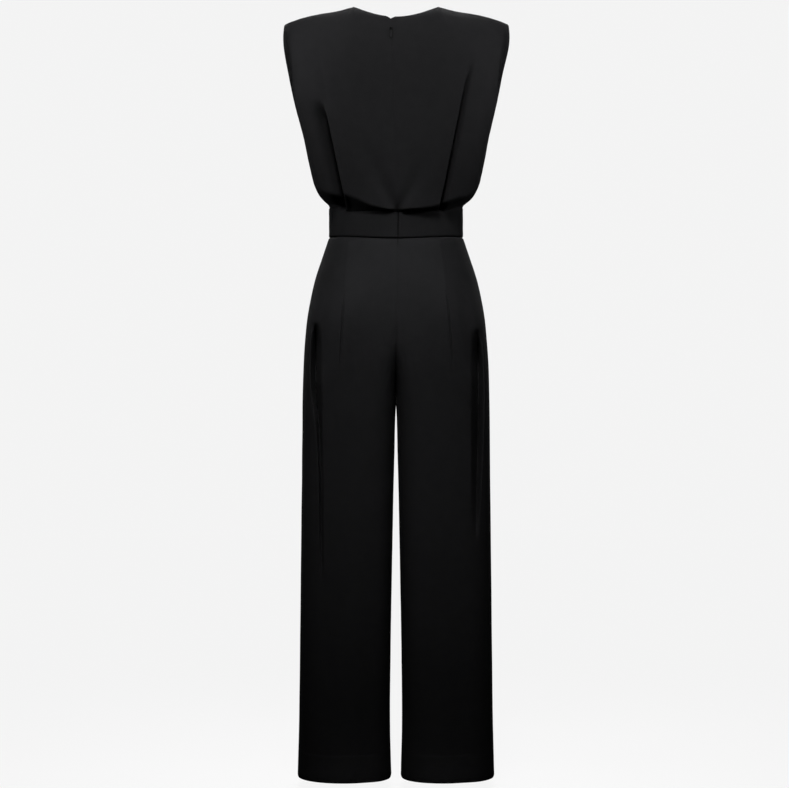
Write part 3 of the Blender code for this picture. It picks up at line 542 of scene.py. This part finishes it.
def bodice_grid(face, side, around, upper_rows, hang_rows, turn_rows):
    """Outer points of half of the back (face 1) or front (face -1), on the wearer's left
    (side 1) or right (side -1). Columns run from the centre to the side, rows from the top."""
    rows = []

    # From the top edge down to the underarm, over the shoulder.
    fullness, neck_roundness, ridge_roundness = SHOULDER_FORM[face]
    roundness = mix(neck_roundness, ridge_roundness, ease(around / NECK_SHARE))
    for row in upper_rows:
        share = from_seam(face, side, around, mix(NECK_POINT_Z - NECK_BACK_DROP, UNDERARM_Z, row))
        x_top, _, z_top = top_edge(face, share)
        from_notch = np.abs(x_top - x_top[0])
        notch = NOTCH_DEPTH * np.clip(1 - from_notch / NOTCH_HALF_WIDTH, 0, 1) * (face > 0)
        s = row + (1 - row) * notch / (z_top - UNDERARM_Z)
        z = mix(z_top, UNDERARM_Z, s)
        x, y = hang(face, share, z)
        neck_ease = NECK_POINT_EASE * ease(row / NECK_POINT_EASE_ROWS)
        x_offset, y_top = eased_top(face, share, neck_ease)
        x = x + x_offset * (1 - s) ** 2
        y = mix(y_top, y, (1 - (1 - s) ** fullness) ** (1 / roundness))
        y = y + armhole_bulge(face, share, z_top, z)
        rows.append(np.stack((x, y, z), -1))

    # From the underarm down to the turn, and through the turn to the waistband.
    edge = curve(BODICE_TURN, "edge_left" if side > 0 else "edge_right", around, "around")
    rounding = curve(BODICE_TURN, "rounding", around, "around")
    x_waist, y_waist = waist_ring(face, around)
    z_waist = BAND_TOP_Z - back_dip(BAND_TOP_DIP, x_waist, y_waist)
    z_turn = z_waist + edge + rounding
    for row in hang_rows:
        z = mix(UNDERARM_Z, z_turn, row)
        share = from_seam(face, side, around, z[0])
        _, _, z_top = top_edge(face, share)
        x, y = hang(face, share, z)
        rows.append(np.stack((x, y + armhole_bulge(face, share, z_top, z), z), -1))
    for row in turn_rows:
        share = from_seam(face, side, around, mix(z_turn[0], z_waist[0], row))
        x_waist, y_waist = waist_ring(face, share)
        z_waist = BAND_TOP_Z - back_dip(BAND_TOP_DIP, x_waist, y_waist)
        z_edge = z_waist + edge
        start = np.stack((*hang(face, share, z_edge + rounding), z_edge + rounding), -1)
        corner = np.stack((*hang(face, share, z_edge), z_edge), -1)
        end = np.stack((x_waist, y_waist, z_waist + TUCK_RISE * edge), -1)
        point = turned_in(start, corner, end, rounding[:, None], min(row, TUCK_SHARE))
        point[:, 2] -= TUCK_RISE * edge * np.clip((row - TUCK_SHARE) / (1 - TUCK_SHARE), 0, 1)
        rows.append(point)

    points = np.array(rows)
    folds = BACK_BODICE_FOLDS if face > 0 else FRONT_BODICE_FOLDS
    depth = fold_depth(folds, side * points[..., 0], points[..., 2])
    from_waist = np.linalg.norm(points - points[-1], axis=-1)
    depth *= ease(from_waist / TUCKED_HEIGHT) * ease((1 - around) / EDGE_SHARE)
    points[..., :2] -= unit(points[..., :2] * (0.5, 1.0)) * depth[..., None]
    if side < 0:
        points[..., 0] += curve(BODICE_HANG, "right_extra", points[..., 2]) * around**2
    points[..., 0] *= side
    return points


def band_grid(face, side, around, rows):
    """Outer points of half of the waistband, from the centre to the side seam."""
    centre_top = BAND_TOP_Z - BAND_TOP_DIP[0]
    centre_foot = BAND_BOTTOM_Z - BAND_BOTTOM_DIP[0]
    points = []
    for row in rows:
        x, y = waist_ring(face, from_seam(face, side, around, mix(centre_top, centre_foot, row)))
        top = BAND_TOP_Z - back_dip(BAND_TOP_DIP, x, y) - SEAM_GAP
        foot = BAND_BOTTOM_Z - back_dip(BAND_BOTTOM_DIP, x, y)
        points.append(np.stack((side * x, y, mix(top, foot, row)), -1))
    return np.array(points)


def leg_section(z):
    """The plan of one trouser leg at a height, as (middle, half-width, parted). parted is 0
    where the legs are still one round, and 1 from the crotch down."""
    out = curve(TROUSERS, "half_width", z)
    below = np.clip((VALLEY_Z - z) / (VALLEY_Z - CROTCH_Z), 0, 1)
    valley = min((1 - below**VALLEY_CURVE) ** VALLEY_ROUNDNESS, VALLEY_LIP)
    square = curve(TROUSERS, "inner_square", z)
    parted = (1 - valley**square) ** (1 / square)
    parted = parted * ease((LEGS_PART_Z - z) / LEGS_PART_HEIGHT)
    inner = out * (parted - 1) / (parted + 1)
    if z <= CROTCH_Z:
        inner = curve(LEG_GAP, "half_gap", z)
    return (out + inner) / 2, (out - inner) / 2, parted


def leg_grid(face, side, across_panel, levels):
    """Outer points of a trouser panel, from the centre seam or inseam out to the side seam."""
    folds = BACK_LEG_FOLDS if face > 0 else FRONT_LEG_FOLDS
    rows = []
    for z in levels:
        middle, half_width, parted = leg_section(z)
        angle = np.linspace(math.acos(-parted), 0, SECTION_SAMPLES)
        across = np.cos(angle)
        inner_square = curve(TROUSERS, "inner_square", z)
        square = np.where(across < 0, inner_square, curve(TROUSERS, "outer_square", z))
        x = middle + half_width * across
        depth = curve(TROUSERS, "back" if face > 0 else "front", z)
        y = face * depth * (1 - np.abs(across) ** square) ** (1 / square)
        length = np.concatenate(((0,), np.cumsum(np.hypot(np.diff(x), np.diff(y)))))

        centre_drop = 1 - ease((BAND_BOTTOM_Z - z) / (BAND_BOTTOM_Z - SEAM_DIP_ENDS_Z))
        z_seam = z - BAND_BOTTOM_DIP[0] * centre_drop
        seam_x = x[-1] * math.sin(from_seam(face, side, 0, z_seam) * math.pi / 2)
        start = math.copysign(np.interp(abs(seam_x), x, length), seam_x) if z > CROTCH_Z else 0
        even = mix(start, length[-1], across_panel)
        x = np.interp(np.abs(even), length, x) * np.where(even < 0, -1, 1)
        y = np.interp(np.abs(even), length, y)

        below_crotch = ease((CROTCH_Z - z) / SEAM_SHARE_ENDS)
        seam_share = np.maximum(ease(across_panel / SEAM_SHARE), below_crotch)
        depth = fold_depth(folds, side * x, z)
        if face > 0:
            depth = depth + deep_fold(LEFT_LEG_FOLD if side > 0 else RIGHT_LEG_FOLD, x, z)
            depth = depth - dart_height(BACK_DARTS, side * x, z)
        depth = depth - HEM_STEP * ease((HEM_FOLD_Z - z) / HEM_STEP_REACH + 0.5)
        depth = depth * seam_share * ease((1 - across_panel) / EDGE_SHARE)

        drop = back_dip(BAND_BOTTOM_DIP, x, y) * centre_drop
        drop = drop + SEAM_GAP * (z == levels[0])
        rows.append(np.stack((side * x, y - face * depth, z - drop), -1))
    return np.array(rows)


# ---------------------------------------------------------------- panels


def bodice_half(face, side):
    """Outer points of a half of the bodice, with its edges half a gap from each seam."""
    around = graded(*(BODICE_BACK_COLUMNS if face > 0 else BODICE_FRONT_COLUMNS))
    around[np.argmin(np.abs(around - NECK_SHARE))] = NECK_SHARE
    upper = graded(*BODICE_UPPER_ROWS) ** UPPER_ROWS_CROWD
    hanging = graded(BODICE_HANG_ROWS - UPPER_ROWS + 1)[1:]
    turn = graded(*BODICE_TURN_ROWS)[1:]
    points = bodice_grid(face, side, around, upper, hanging, turn)
    shoulder = around >= NECK_SHARE - 1e-6
    points[len(upper) - 1 :, -1, 1] += face * SEAM_GAP / 2
    points[0, shoulder, 1] += face * SEAM_GAP / 2
    return points


def band_half(face, side):
    """Outer points of a half of the waistband, open over the zip at the back."""
    points = band_grid(face, side, graded(*BAND_COLUMNS), graded(*BAND_ROWS))
    if face > 0:
        open_over_zip(points, side)
    points[:, -1, 1] += face * SEAM_GAP / 2
    return points


def trouser_panel(face, side):
    """Outer points of one of the four trouser panels."""
    rise = mix(BAND_BOTTOM_Z, CROTCH_Z, graded(*RISE_LEVELS))
    leg = mix(CROTCH_Z, HEM_Z, graded(*LEG_LEVELS))[1:]
    columns = graded(*(LEG_BACK_COLUMNS if face > 0 else LEG_FRONT_COLUMNS))
    points = leg_grid(face, side, columns, np.concatenate((rise, leg)))
    if face > 0:
        open_over_zip(points, side)
    crotch = len(rise) - 1
    points[: crotch + 1, 0, 0] += side * SEAM_GAP / 2
    points[crotch:, 0, 1] += face * SEAM_GAP / 2
    points[:, -1, 1] += face * SEAM_GAP / 2
    return points


def zip_opening(z):
    """How far each edge over the zip is drawn back at a height, in the waistband and below."""
    return ZIP_OPEN * ease((z - ZIP_OPEN_FOOT_Z) / ZIP_OPEN_FADE) * (z < ZIP_OPEN_TOP_Z)


def open_over_zip(points, side):
    """Draws a panel's points back from the centre seam, the less the further they are."""
    share = np.exp(-np.abs(points[..., 0] - points[:, :1, 0]) / ZIP_OPEN_REACH)
    points[..., 0] += side * zip_opening(points[..., 2]) * share


def back_half(form, side):
    """A back panel that stops at the centre seam, with its columns running to +X."""
    points = form(1, side)
    points[:, 0, 0] += side * SEAM_GAP / 2
    return points[:, ::side]


def whole_front(form):
    """A front panel in one piece, whose two halves share the centre column."""
    return np.concatenate((form(-1, -1)[:, ::-1], form(-1, 1)[:, 1:]), axis=1)


def outward_normals(points, face):
    """The cloth's normals at a grid's points, away from the wearer."""
    along, down = np.gradient(points, axis=1), np.gradient(points, axis=0)
    return unit(np.cross(along, down) * face)


def edge_distances(points):
    """How far each point is from the panel's -X, +X, top and foot edges, along the cloth."""
    across = np.linalg.norm(np.diff(points, axis=1), axis=-1).cumsum(axis=1)
    across = np.pad(across, ((0, 0), (1, 0)))
    down = np.linalg.norm(np.diff(points, axis=0), axis=-1).cumsum(axis=0)
    down = np.pad(down, ((1, 0), (0, 0)))
    return across, across[:, -1:] - across, down, down[-1:] - down


def finish_cloth(points, face, rolls, seed, still):
    """Turns the -X, +X, top and foot edges in by the shares in rolls, the deeper the sharper,
    and adds the puckers beside the seams and the cloth's slight unevenness. still names the
    edges whose wall stays in the seam's plane: (rows, columns, axis) each."""
    normals = outward_normals(points, face)
    for rows, columns, axis in still:
        normals[rows, columns, axis] = 0
    normals = unit(normals)
    distances = edge_distances(points)
    nearest = np.minimum.reduce(distances)
    offset = UNEVENNESS * waves(points, UNEVEN_LENGTH, seed) * ease(nearest / UNEVEN_STARTS)
    puckers = PUCKER * waves(points, PUCKER_LENGTH, seed + 7) * ease(nearest / PUCKER_STARTS)
    for distance, roll in zip(distances, rolls):
        width = ROLL_WIDTH / max(roll, 1)
        offset -= roll * ROLL_DEPTH * np.exp(-((distance / width) ** 2))
        offset += puckers * np.exp(-(((distance - PUCKER_PLACE) / PUCKER_REACH) ** 2))
    return points + normals * offset[..., None], normals


# ---------------------------------------------------------------- pieces


def link(name, mesh, material, body, nodes):
    """Puts a finished mesh in the scene, on its body, in place of its solid."""
    data = bpy.data.meshes.new(name)
    mesh.to_mesh(data)
    mesh.free()
    data.materials.append(material)
    data.shade_smooth()
    piece = bpy.data.objects.new(name, data)
    bpy.context.scene.collection.objects.link(piece)
    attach(piece, body)
    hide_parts(*nodes)
    return piece


def wall_mesh(outer, inner):
    """A closed wall between two grids of points, with the cloth's grain as its UVs."""
    rows, columns = outer.shape[:2]
    across, _, down, _ = edge_distances(outer)
    mesh = bmesh.new()
    grain = mesh.loops.layers.uv.new("grain")
    skins = [[[mesh.verts.new(point) for point in row] for row in skin] for skin in (outer, inner)]

    def face(corners):
        made = mesh.faces.new([skins[layer][i][j] for layer, i, j in corners])
        for loop, (_, i, j) in zip(made.loops, corners):
            loop[grain].uv = (across[i, j], -down[i, j])

    for layer in (0, 1):
        for i in range(rows - 1):
            for j in range(columns - 1):
                face([(layer, i, j), (layer, i, j + 1), (layer, i + 1, j + 1), (layer, i + 1, j)])
    rim = [(0, j) for j in range(columns - 1)]
    rim += [(i, columns - 1) for i in range(rows - 1)]
    rim += [(rows - 1, j) for j in range(columns - 1, 0, -1)]
    rim += [(i, 0) for i in range(rows - 1, 0, -1)]
    for (i, j), (k, m) in zip(rim, rim[1:] + rim[:1]):
        face([(0, i, j), (0, k, m), (1, k, m), (1, i, j)])
    bmesh.ops.recalc_face_normals(mesh, faces=mesh.faces)
    return mesh


def cloth_piece(name, points, face, rolls, seed, still):
    """A cloth panel as a thin closed wall, in place of its solid."""
    wall = BAND_WALL if name.startswith("waistband") else CLOTH_WALL
    outer, normals = finish_cloth(points, face, rolls, seed, still)
    mesh = wall_mesh(outer, outer - normals * wall)
    piece = link(name + "_cloth", mesh, CREPE, "garment", (name,))


# ---------------------------------------------------------------- materials


class Nodes:
    """Short hand for building a material's nodes."""

    def __init__(self, name):
        self.material = bpy.data.materials.new(name)
        self.material.use_nodes = True
        self.tree = self.material.node_tree
        self.shader = self.tree.nodes["Principled BSDF"]

    def add(self, kind, values=None, links=None, **settings):
        node = self.tree.nodes.new(kind)
        for key, value in settings.items():
            setattr(node, key, value)
        for key, value in (values or {}).items():
            node.inputs[key].default_value = value
        for key, source in (links or {}).items():
            self.tree.links.new(source, node.inputs[key])
        return node

    def noise(self, place, scale, detail, roughness):
        values = {"Scale": scale, "Detail": detail, "Roughness": roughness}
        return self.add("ShaderNodeTexNoise", values, {"Vector": place}).outputs["Fac"]

    def bump(self, height, strength, distance, under=None):
        """Raises the surface by the height, on top of the bumps that are under it."""
        links = {"Height": height}
        if under:
            links["Normal"] = under
        values = {"Strength": strength, "Distance": distance}
        return self.add("ShaderNodeBump", values, links).outputs["Normal"]

    def shades(self, share, dark, light, ends=(0, 1)):
        """Colours between a dark and a light one, by a share that runs between two ends."""
        node = self.add("ShaderNodeValToRGB", None, {"Fac": share})
        for element, position, colour in zip(node.color_ramp.elements, ends, (dark, light)):
            element.position, element.color = position, colour
        return node.outputs["Color"]

    def spread(self, value, low, high, ends=(0, 1)):
        """A value that runs between two ends, as a number from low to high."""
        values = {"From Min": ends[0], "From Max": ends[1], "To Min": low, "To Max": high}
        return self.add("ShaderNodeMapRange", values, {"Value": value}).outputs["Result"]

    def set(self, **values):
        for key, value in values.items():
            self.shader.inputs[key.replace("_", " ")].default_value = value

    def link(self, source, socket):
        self.tree.links.new(source, self.shader.inputs[socket])


def crepe_material():
    """Black crepe: a fine pebbled grain, a slight mottling of the dye, and a faint sheen."""
    made = Nodes("black_crepe")
    place = made.add("ShaderNodeTexCoord").outputs["Object"]
    squash = made.add("ShaderNodeMapping", {"Scale": (1.0, 1.0, 0.55)}, {"Vector": place})
    drawn = squash.outputs["Vector"]
    pebble = made.noise(drawn, 1500.0, 2.0, 0.55)
    mottle = made.noise(place, 55.0, 4.0, 0.6)
    soft = made.noise(place, 160.0, 2.0, 0.5)
    cells = made.add(
        "ShaderNodeTexVoronoi", {"Scale": 900.0, "Randomness": 1.0}, {"Vector": drawn}
    )
    crinkle = cells.outputs["Distance"]

    slow = made.add("ShaderNodeMath", {1: 0.45}, {0: mottle}, operation="MULTIPLY")
    shade = made.add(
        "ShaderNodeMath",
        {1: 0.55},
        {0: pebble, 2: slow.outputs["Value"]},
        operation="MULTIPLY_ADD",
    )
    dye = made.shades(shade.outputs["Value"], CREPE_DARK, CREPE_LIGHT, (0.3, 0.7))
    made.link(dye, "Base Color")
    made.link(made.spread(crinkle, 0.70, 0.86, (0.3, 0.7)), "Roughness")

    fine = made.bump(pebble, 0.45, 0.00025)
    knots = made.bump(crinkle, 0.30, 0.0003, fine)
    made.link(made.bump(soft, 0.25, 0.0006, knots), "Normal")
    made.set(Specular_IOR_Level=0.015, Sheen_Weight=0.003, Sheen_Roughness=0.45)
    return made.material


def tape_material():
    """The zip's woven tape: a fine herringbone of two nearly black threads, painted far darker
    than the crepe as shade in the narrow gap over the zip.
    """
    made = Nodes("black_tape")
    place = made.add("ShaderNodeTexCoord").outputs["UV"]
    weave = made.add(
        "ShaderNodeTexWave",
        {"Scale": 260.0, "Distortion": 0.6, "Detail": 1.0},
        {"Vector": place},
        bands_direction="DIAGONAL",
    ).outputs["Fac"]
    # The weave's two threads, both painted darker as shade in the gap over the zip.
    made.link(made.shades(weave, SHADED_TAPE_DARK, SHADED_TAPE_LIGHT), "Base Color")
    made.link(made.bump(weave, 0.5, 0.0002), "Normal")
    made.set(Roughness=0.82, Specular_IOR_Level=0.02)
    return made.material


def enamel_material(name, colour):
    """Black enamel on the zip's metal, slightly rubbed."""
    made = Nodes(name)
    place = made.add("ShaderNodeTexCoord").outputs["Object"]
    scuff = made.noise(place, 900.0, 3.0, 0.6)
    made.link(made.spread(scuff, 0.55, 0.72), "Roughness")
    made.link(made.bump(scuff, 0.12, 0.0001), "Normal")
    made.set(Base_Color=colour, Specular_IOR_Level=0.06)
    return made.material


def backdrop_material():
    """A pale studio paper that is evenly lit."""
    made = Nodes("pale_paper")
    made.set(
        Base_Color=(0.04, 0.04, 0.04, 1),
        Roughness=1.0,
        Specular_IOR_Level=0.0,
        Emission_Color=BACKDROP,
        Emission_Strength=0.985,
    )
    return made.material


# ---------------------------------------------------------------- zip

TAPE_WALL = 0.0006
TAPE_BEHIND = 0.0003
TAPE_FOOT_Z = -0.530
COIL_HALF_WIDTH = 0.0021
COIL_HEIGHT = 0.0009
COIL_PITCH = 0.0015
COIL_SAMPLES = 4
COIL_MIDDLE = 0.45
COIL_ROUND = 0.6
COIL_RIPPLE = 0.28
TAPE_COLUMNS = np.array((0, 0.0002, 0.0007, 0.0014, 0.0021, 0.0025, 0.0060, 0.0100, 0.0110))

PULL_HINGE = (0.00959, 0.081592, -0.051206)
PULL_LEAN = 15.8
PULL_THICKNESS = 0.0011
PULL_EDGE = 0.00045
PULL_RIM = 0.0011
PULL_DISH = 0.00042
PULL_STEP = 0.0004
PULL_OUTLINE = table(
    "down half_width",
    (0.0008, 0.0011),
    (0.0030, 0.0012),
    (0.0060, 0.0020),
    (0.0095, 0.0033),
    (0.0130, 0.0040),
    (0.0160, 0.0037),
    (0.0185, 0.0026),
    (0.0203, 0.0012),
    (0.0212, 0.0001),
)
KNUCKLE_RADIUS = 0.0015
KNUCKLE_BORE = 0.0008
KNUCKLE_HALF_WIDTH = 0.0011
KNUCKLE_EASE = 0.0002

SLIDER_EASE = 0.0002
SLIDER_SHARP = 0.6


def tape_strip(side):
    """Outer points of half of the zip's tape, out from the centre seam, and their normals."""
    bodice, legs = bodice_half(1, side), trouser_panel(1, side)
    stretches = (
        (bodice[1:BODICE_HANG_ROWS], CLOTH_WALL),
        (band_half(1, side), BAND_WALL),
        (legs[1 : int(np.sum(legs[:, 0, 2] > TAPE_FOOT_Z))], CLOTH_WALL),
    )
    points, normals = [], []
    for outer, wall in stretches:
        normal = outward_normals(outer, side)[:, :1]
        behind = outer - normal * (wall + TAPE_BEHIND)
        for row, out in zip(behind, normal):
            across = side * (row[:, 0] - row[0, 0])
            x = row[0, 0] + side * (TAPE_COLUMNS - zip_opening(row[0, 2]))
            y, z = (np.interp(TAPE_COLUMNS, across, row[:, axis]) for axis in (1, 2))
            points.append(np.stack((x, y, z), -1))
            normals.append(np.broadcast_to(out, (len(TAPE_COLUMNS), 3)))
    return np.array(points), np.array(normals)


def at_places(grid, down, places):
    """Reads a grid's columns at new places, given how far down each of its rows is."""
    lines = grid.reshape(len(grid), -1).T
    read = np.stack([np.interp(places, down, line) for line in lines], -1)
    return read.reshape(len(places), *grid.shape[1:])


def make_zip_tape(side, word):
    """Half of the zip behind the back seam: a woven tape with the coil's bead along its inner
    edge, whose turns mesh with the other half's."""
    points, normals = tape_strip(side)
    down = edge_distances(points)[2][:, 0]
    count = int(down[-1] / COIL_PITCH * COIL_SAMPLES)
    even = np.linspace(0, down[-1], count)
    points, normals = at_places(points, down, even), at_places(normals, down, even)
    turn = np.arange(count) / COIL_SAMPLES + (0.5 if side < 0 else 0)
    ripple = 1 - COIL_RIPPLE + COIL_RIPPLE * np.cos(2 * math.pi * turn)
    from_middle = (TAPE_COLUMNS / COIL_HALF_WIDTH - COIL_MIDDLE) / COIL_ROUND
    bead = np.sqrt(np.clip(1 - from_middle**2, 0, 1))
    coil = COIL_HEIGHT * bead * ripple[:, None]
    inner = points - normals * (TAPE_WALL + coil)[..., None]
    mesh = wall_mesh(points, inner)
    return link("zip_tape_" + word, mesh, TAPE, "garment", ("zip_tape",))


def inside_pull(half, x, down):
    """How far inside the pull's outline a point is."""
    return np.minimum(half - np.abs(x), 0.8 * (PULL_OUTLINE["down"][-1] - down))


def pull_skin(front):
    """One face of the pull: a rounded edge, a raised rim and a dished middle."""
    down = np.linspace(PULL_OUTLINE["down"][0], PULL_OUTLINE["down"][-1], 64)
    half = curve(PULL_OUTLINE, "half_width", down, "down")[:, None]
    share = np.sin(np.linspace(-1, 1, 37) * math.pi / 2)
    x = half * share
    from_edge = inside_pull(half, x, down[:, None])
    edge = np.clip(from_edge / PULL_EDGE, 0, 1)
    height = PULL_THICKNESS / 2 * np.sqrt(1 - (1 - edge) ** 2)
    height = height - PULL_DISH * ease((from_edge - PULL_RIM + PULL_STEP) / PULL_STEP)
    z = np.broadcast_to(-down[:, None], x.shape)
    return np.stack((x, height if front else -height, z), -1)


def knuckle_ring():
    """The pull's ring round the slider's pin, with its edges eased: a closed loop of sections."""
    low, high, wide, ease_by = KNUCKLE_BORE, KNUCKLE_RADIUS, KNUCKLE_HALF_WIDTH, KNUCKLE_EASE
    section = [(-wide + ease_by, high), (wide - ease_by, high), (wide, high - ease_by)]
    section += [(wide, low + ease_by), (wide - ease_by, low), (-wide + ease_by, low)]
    section += [(-wide, low + ease_by), (-wide, high - ease_by)]
    angles = np.linspace(0, 2 * math.pi, 40, endpoint=False)
    return [[(x, r * math.cos(a), r * math.sin(a)) for x, r in section] for a in angles]


def make_pull():
    """The almond-shaped pull on its knuckle: its rim is in the darker enamel as painted shade
    round its edge, and its dished middle is in a lighter enamel.
    """
    mesh = wall_mesh(pull_skin(True), pull_skin(False))
    for face in mesh.faces:
        x, _, z = face.calc_center_median()
        half = curve(PULL_OUTLINE, "half_width", -z, "down")
        # The rim takes the dark enamel as painted shade round the pull's edge, and the dished
        # middle takes the lighter one.
        face.material_index = int(inside_pull(half, x, -z) > PULL_RIM)
    rings = [[mesh.verts.new(point) for point in section] for section in knuckle_ring()]
    for ring, following in zip(rings, rings[1:] + rings[:1]):
        for i in range(len(ring)):
            j = (i + 1) % len(ring)
            mesh.faces.new((ring[i], ring[j], following[j], following[i]))
    bmesh.ops.recalc_face_normals(mesh, faces=mesh.faces)
    lean = Matrix.Rotation(math.radians(PULL_LEAN), 4, "X")
    mesh.transform(Matrix.Translation(PULL_HINGE) @ lean)
    pull = link("pull_plate", mesh, ENAMEL_PAINT, "pull", ("zip_pull",))
    pull.data.materials.append(PULL_MIDDLE_PAINT)


def make_slider():
    """The slider's solid with its edges eased."""
    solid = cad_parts["zip_slider"]
    mesh = bmesh.new()
    mesh.from_mesh(solid.data)
    mesh.transform(solid.matrix_world)
    bmesh.ops.remove_doubles(mesh, verts=mesh.verts, dist=1e-6)
    sharp = [e for e in mesh.edges if e.is_manifold and e.calc_face_angle() > SLIDER_SHARP]
    bmesh.ops.bevel(
        mesh,
        geom=sharp,
        offset=SLIDER_EASE,
        segments=2,
        profile=0.5,
        affect="EDGES",
        clamp_overlap=True,
    )
    link("slider_body", mesh, ENAMEL_PAINT, "garment", ("zip_slider",))


def make_zip():
    """The zip's two tapes, its slider and its pull."""
    for tape in (make_zip_tape(1, "left"), make_zip_tape(-1, "right")):
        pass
    make_slider()
    make_pull()


# ---------------------------------------------------------------- the studio

FLOOR_Z = -1.500
STUDIO_RADIUS = 9.0
CAMERA_DISTANCE = 4.6
CAMERA_X = 0.0029
CAMERA_Z = -0.746
PICTURE_PIXELS = 789
METRES_PER_PIXEL = 0.00193
SENSOR = 36.0

# Each light: its place, the point it faces, its width and height, its beam in degrees and its
# power in watts. Those on the seat, the legs and the hem are narrow beams. The front ones stand
# so far forward that they hardly reach the back.
LIGHTS = {
    "key": ((0.15, 1.90, 1.95), (0.02, 0.08, -0.60), 1.4, 0.5, 24, 3.6),
    "seat": ((0.10, 2.20, 1.60), (0.01, 0.10, -0.59), 0.25, 0.25, 7, 0.12),
    "legs": ((0.10, 2.20, 1.20), (0.01, 0.10, -0.88), 0.25, 0.25, 11, 0.065),
    "hem": ((0.05, 2.50, -1.40), (0.01, 0.10, -1.50), 0.30, 0.10, 7, 0.02),
    "top": ((0.15, 0.30, 1.30), (0.03, 0.03, 0.0), 0.6, 0.3, 60, 1.75),
    "left": ((2.0, 0.6, 0.45), (0.12, 0.03, -0.15), 0.15, 0.15, 18, 0.52),
    "right": ((-2.0, 0.6, 0.45), (-0.12, 0.03, -0.17), 0.15, 0.15, 18, 0.48),
    "front_key": ((-0.15, -1.90, 1.95), (0.0, -0.08, -0.60), 1.4, 0.5, 28, 5.5),
    "front_left": ((1.1, -2.1, 1.0), (0.05, -0.05, -0.72), 0.4, 0.4, 32, 1.5),
    "front_right": ((-1.1, -2.1, 1.0), (-0.05, -0.05, -0.72), 0.4, 0.4, 32, 1.2),
}
WORLD_LIGHT = 0.008


def make_backdrop():
    """A pale dome with a flat floor, which glows by itself and sheds no light on the cloth."""
    mesh = bmesh.new()
    bmesh.ops.create_uvsphere(mesh, u_segments=64, v_segments=32, radius=STUDIO_RADIUS)
    for vert in mesh.verts:
        vert.co.z = max(vert.co.z, FLOOR_Z)
    data = bpy.data.meshes.new("studio")
    mesh.to_mesh(data)
    mesh.free()
    data.materials.append(backdrop_material())
    data.shade_smooth()
    studio = bpy.data.objects.new("studio", data)
    bpy.context.scene.collection.objects.link(studio)
    for kind in ("diffuse", "glossy", "transmission", "shadow"):
        setattr(studio, "visible_" + kind, False)


def make_lights():
    """The studio's lamps, and a dim even light from all round."""
    for name, (place, target, width, height, beam, power) in LIGHTS.items():
        light = bpy.data.lights.new(name, "AREA")
        light.shape = "RECTANGLE"
        light.size, light.size_y = width, height
        light.spread = math.radians(beam)
        light.energy = power
        lamp = bpy.data.objects.new(name, light)
        lamp.location = place
        lamp.rotation_euler = (Vector(target) - Vector(place)).to_track_quat("-Z", "Y").to_euler()
        bpy.context.scene.collection.objects.link(lamp)

    world = bpy.data.worlds.new("studio_air")
    world.use_nodes = True
    sky = world.node_tree.nodes["Background"]
    sky.inputs["Color"].default_value = (1, 1, 1, 1)
    sky.inputs["Strength"].default_value = WORLD_LIGHT
    bpy.context.scene.world = world
    bpy.context.scene.view_settings.view_transform = "Standard"


def make_camera():
    """A camera straight behind the jumpsuit, with the photograph's frame."""
    lens = bpy.data.cameras.new("camera")
    lens.sensor_width = SENSOR
    lens.lens = SENSOR * CAMERA_DISTANCE / (PICTURE_PIXELS * METRES_PER_PIXEL)
    camera = bpy.data.objects.new("camera", lens)
    camera.location = (CAMERA_X, CAMERA_DISTANCE, CAMERA_Z)
    camera.rotation_euler = (math.pi / 2, 0, math.pi)
    bpy.context.scene.collection.objects.link(camera)
    bpy.context.scene.camera = camera


# ---------------------------------------------------------------- the jumpsuit

EVERY = slice(None)


def make_fronts():
    """The two front panels that have no seam in the middle."""
    bodice, band = whole_front(bodice_half), whole_front(band_half)
    cloth_piece("bodice_front", bodice, -1, (1, 1, 1, 1), 11, [(-1, EVERY, 2)])
    cloth_piece("waistband_front", band, -1, (1, 1, 1, 1.5), 12, [((0, -1), EVERY, 2)])


def make_side(side, word):
    """The back panels and the trouser front on the wearer's left (side 1) or right (side -1)."""
    centre, outer = (0, -1) if side > 0 else (-1, 0)

    def rolls(centre_roll, top=1, foot=1):
        sides = (centre_roll, 1) if side > 0 else (1, centre_roll)
        return (*sides, top, foot)

    cloth_piece(
        "bodice_back_" + word,
        back_half(bodice_half, side),
        1,
        rolls(0.2),
        21 + side,
        [(EVERY, centre, 0), (-1, EVERY, 2)],
    )
    cloth_piece(
        "waistband_back_" + word,
        back_half(band_half, side),
        1,
        rolls(0.6, 1, 1.5),
        31 + side,
        [(EVERY, centre, 0), (EVERY, outer, 1), ((0, -1), EVERY, 2)],
    )
    rise, below = slice(0, RISE_ROWS), slice(RISE_ROWS, None)
    for face, place in ((1, "back"), (-1, "front")):
        cloth_piece(
            f"trouser_{place}_{word}",
            trouser_panel(face, side)[:, ::side],
            face,
            rolls(0.35, 1.5),
            41 + side + 3 * face,
            [(rise, centre, 0), (below, centre, 1), (EVERY, outer, 1)],
        )


make_camera()
make_backdrop()
make_lights()
CREPE = crepe_material()
TAPE = tape_material()
ENAMEL_PAINT = enamel_material("black_enamel", ENAMEL)
# The lighter enamel of the pull's dished middle, set against the painted shade of its rim.
PULL_MIDDLE_PAINT = enamel_material("enamel_pull_middle", PULL_MIDDLE_ENAMEL)

make_fronts()
make_side(1, "left")
make_side(-1, "right")
make_zip()
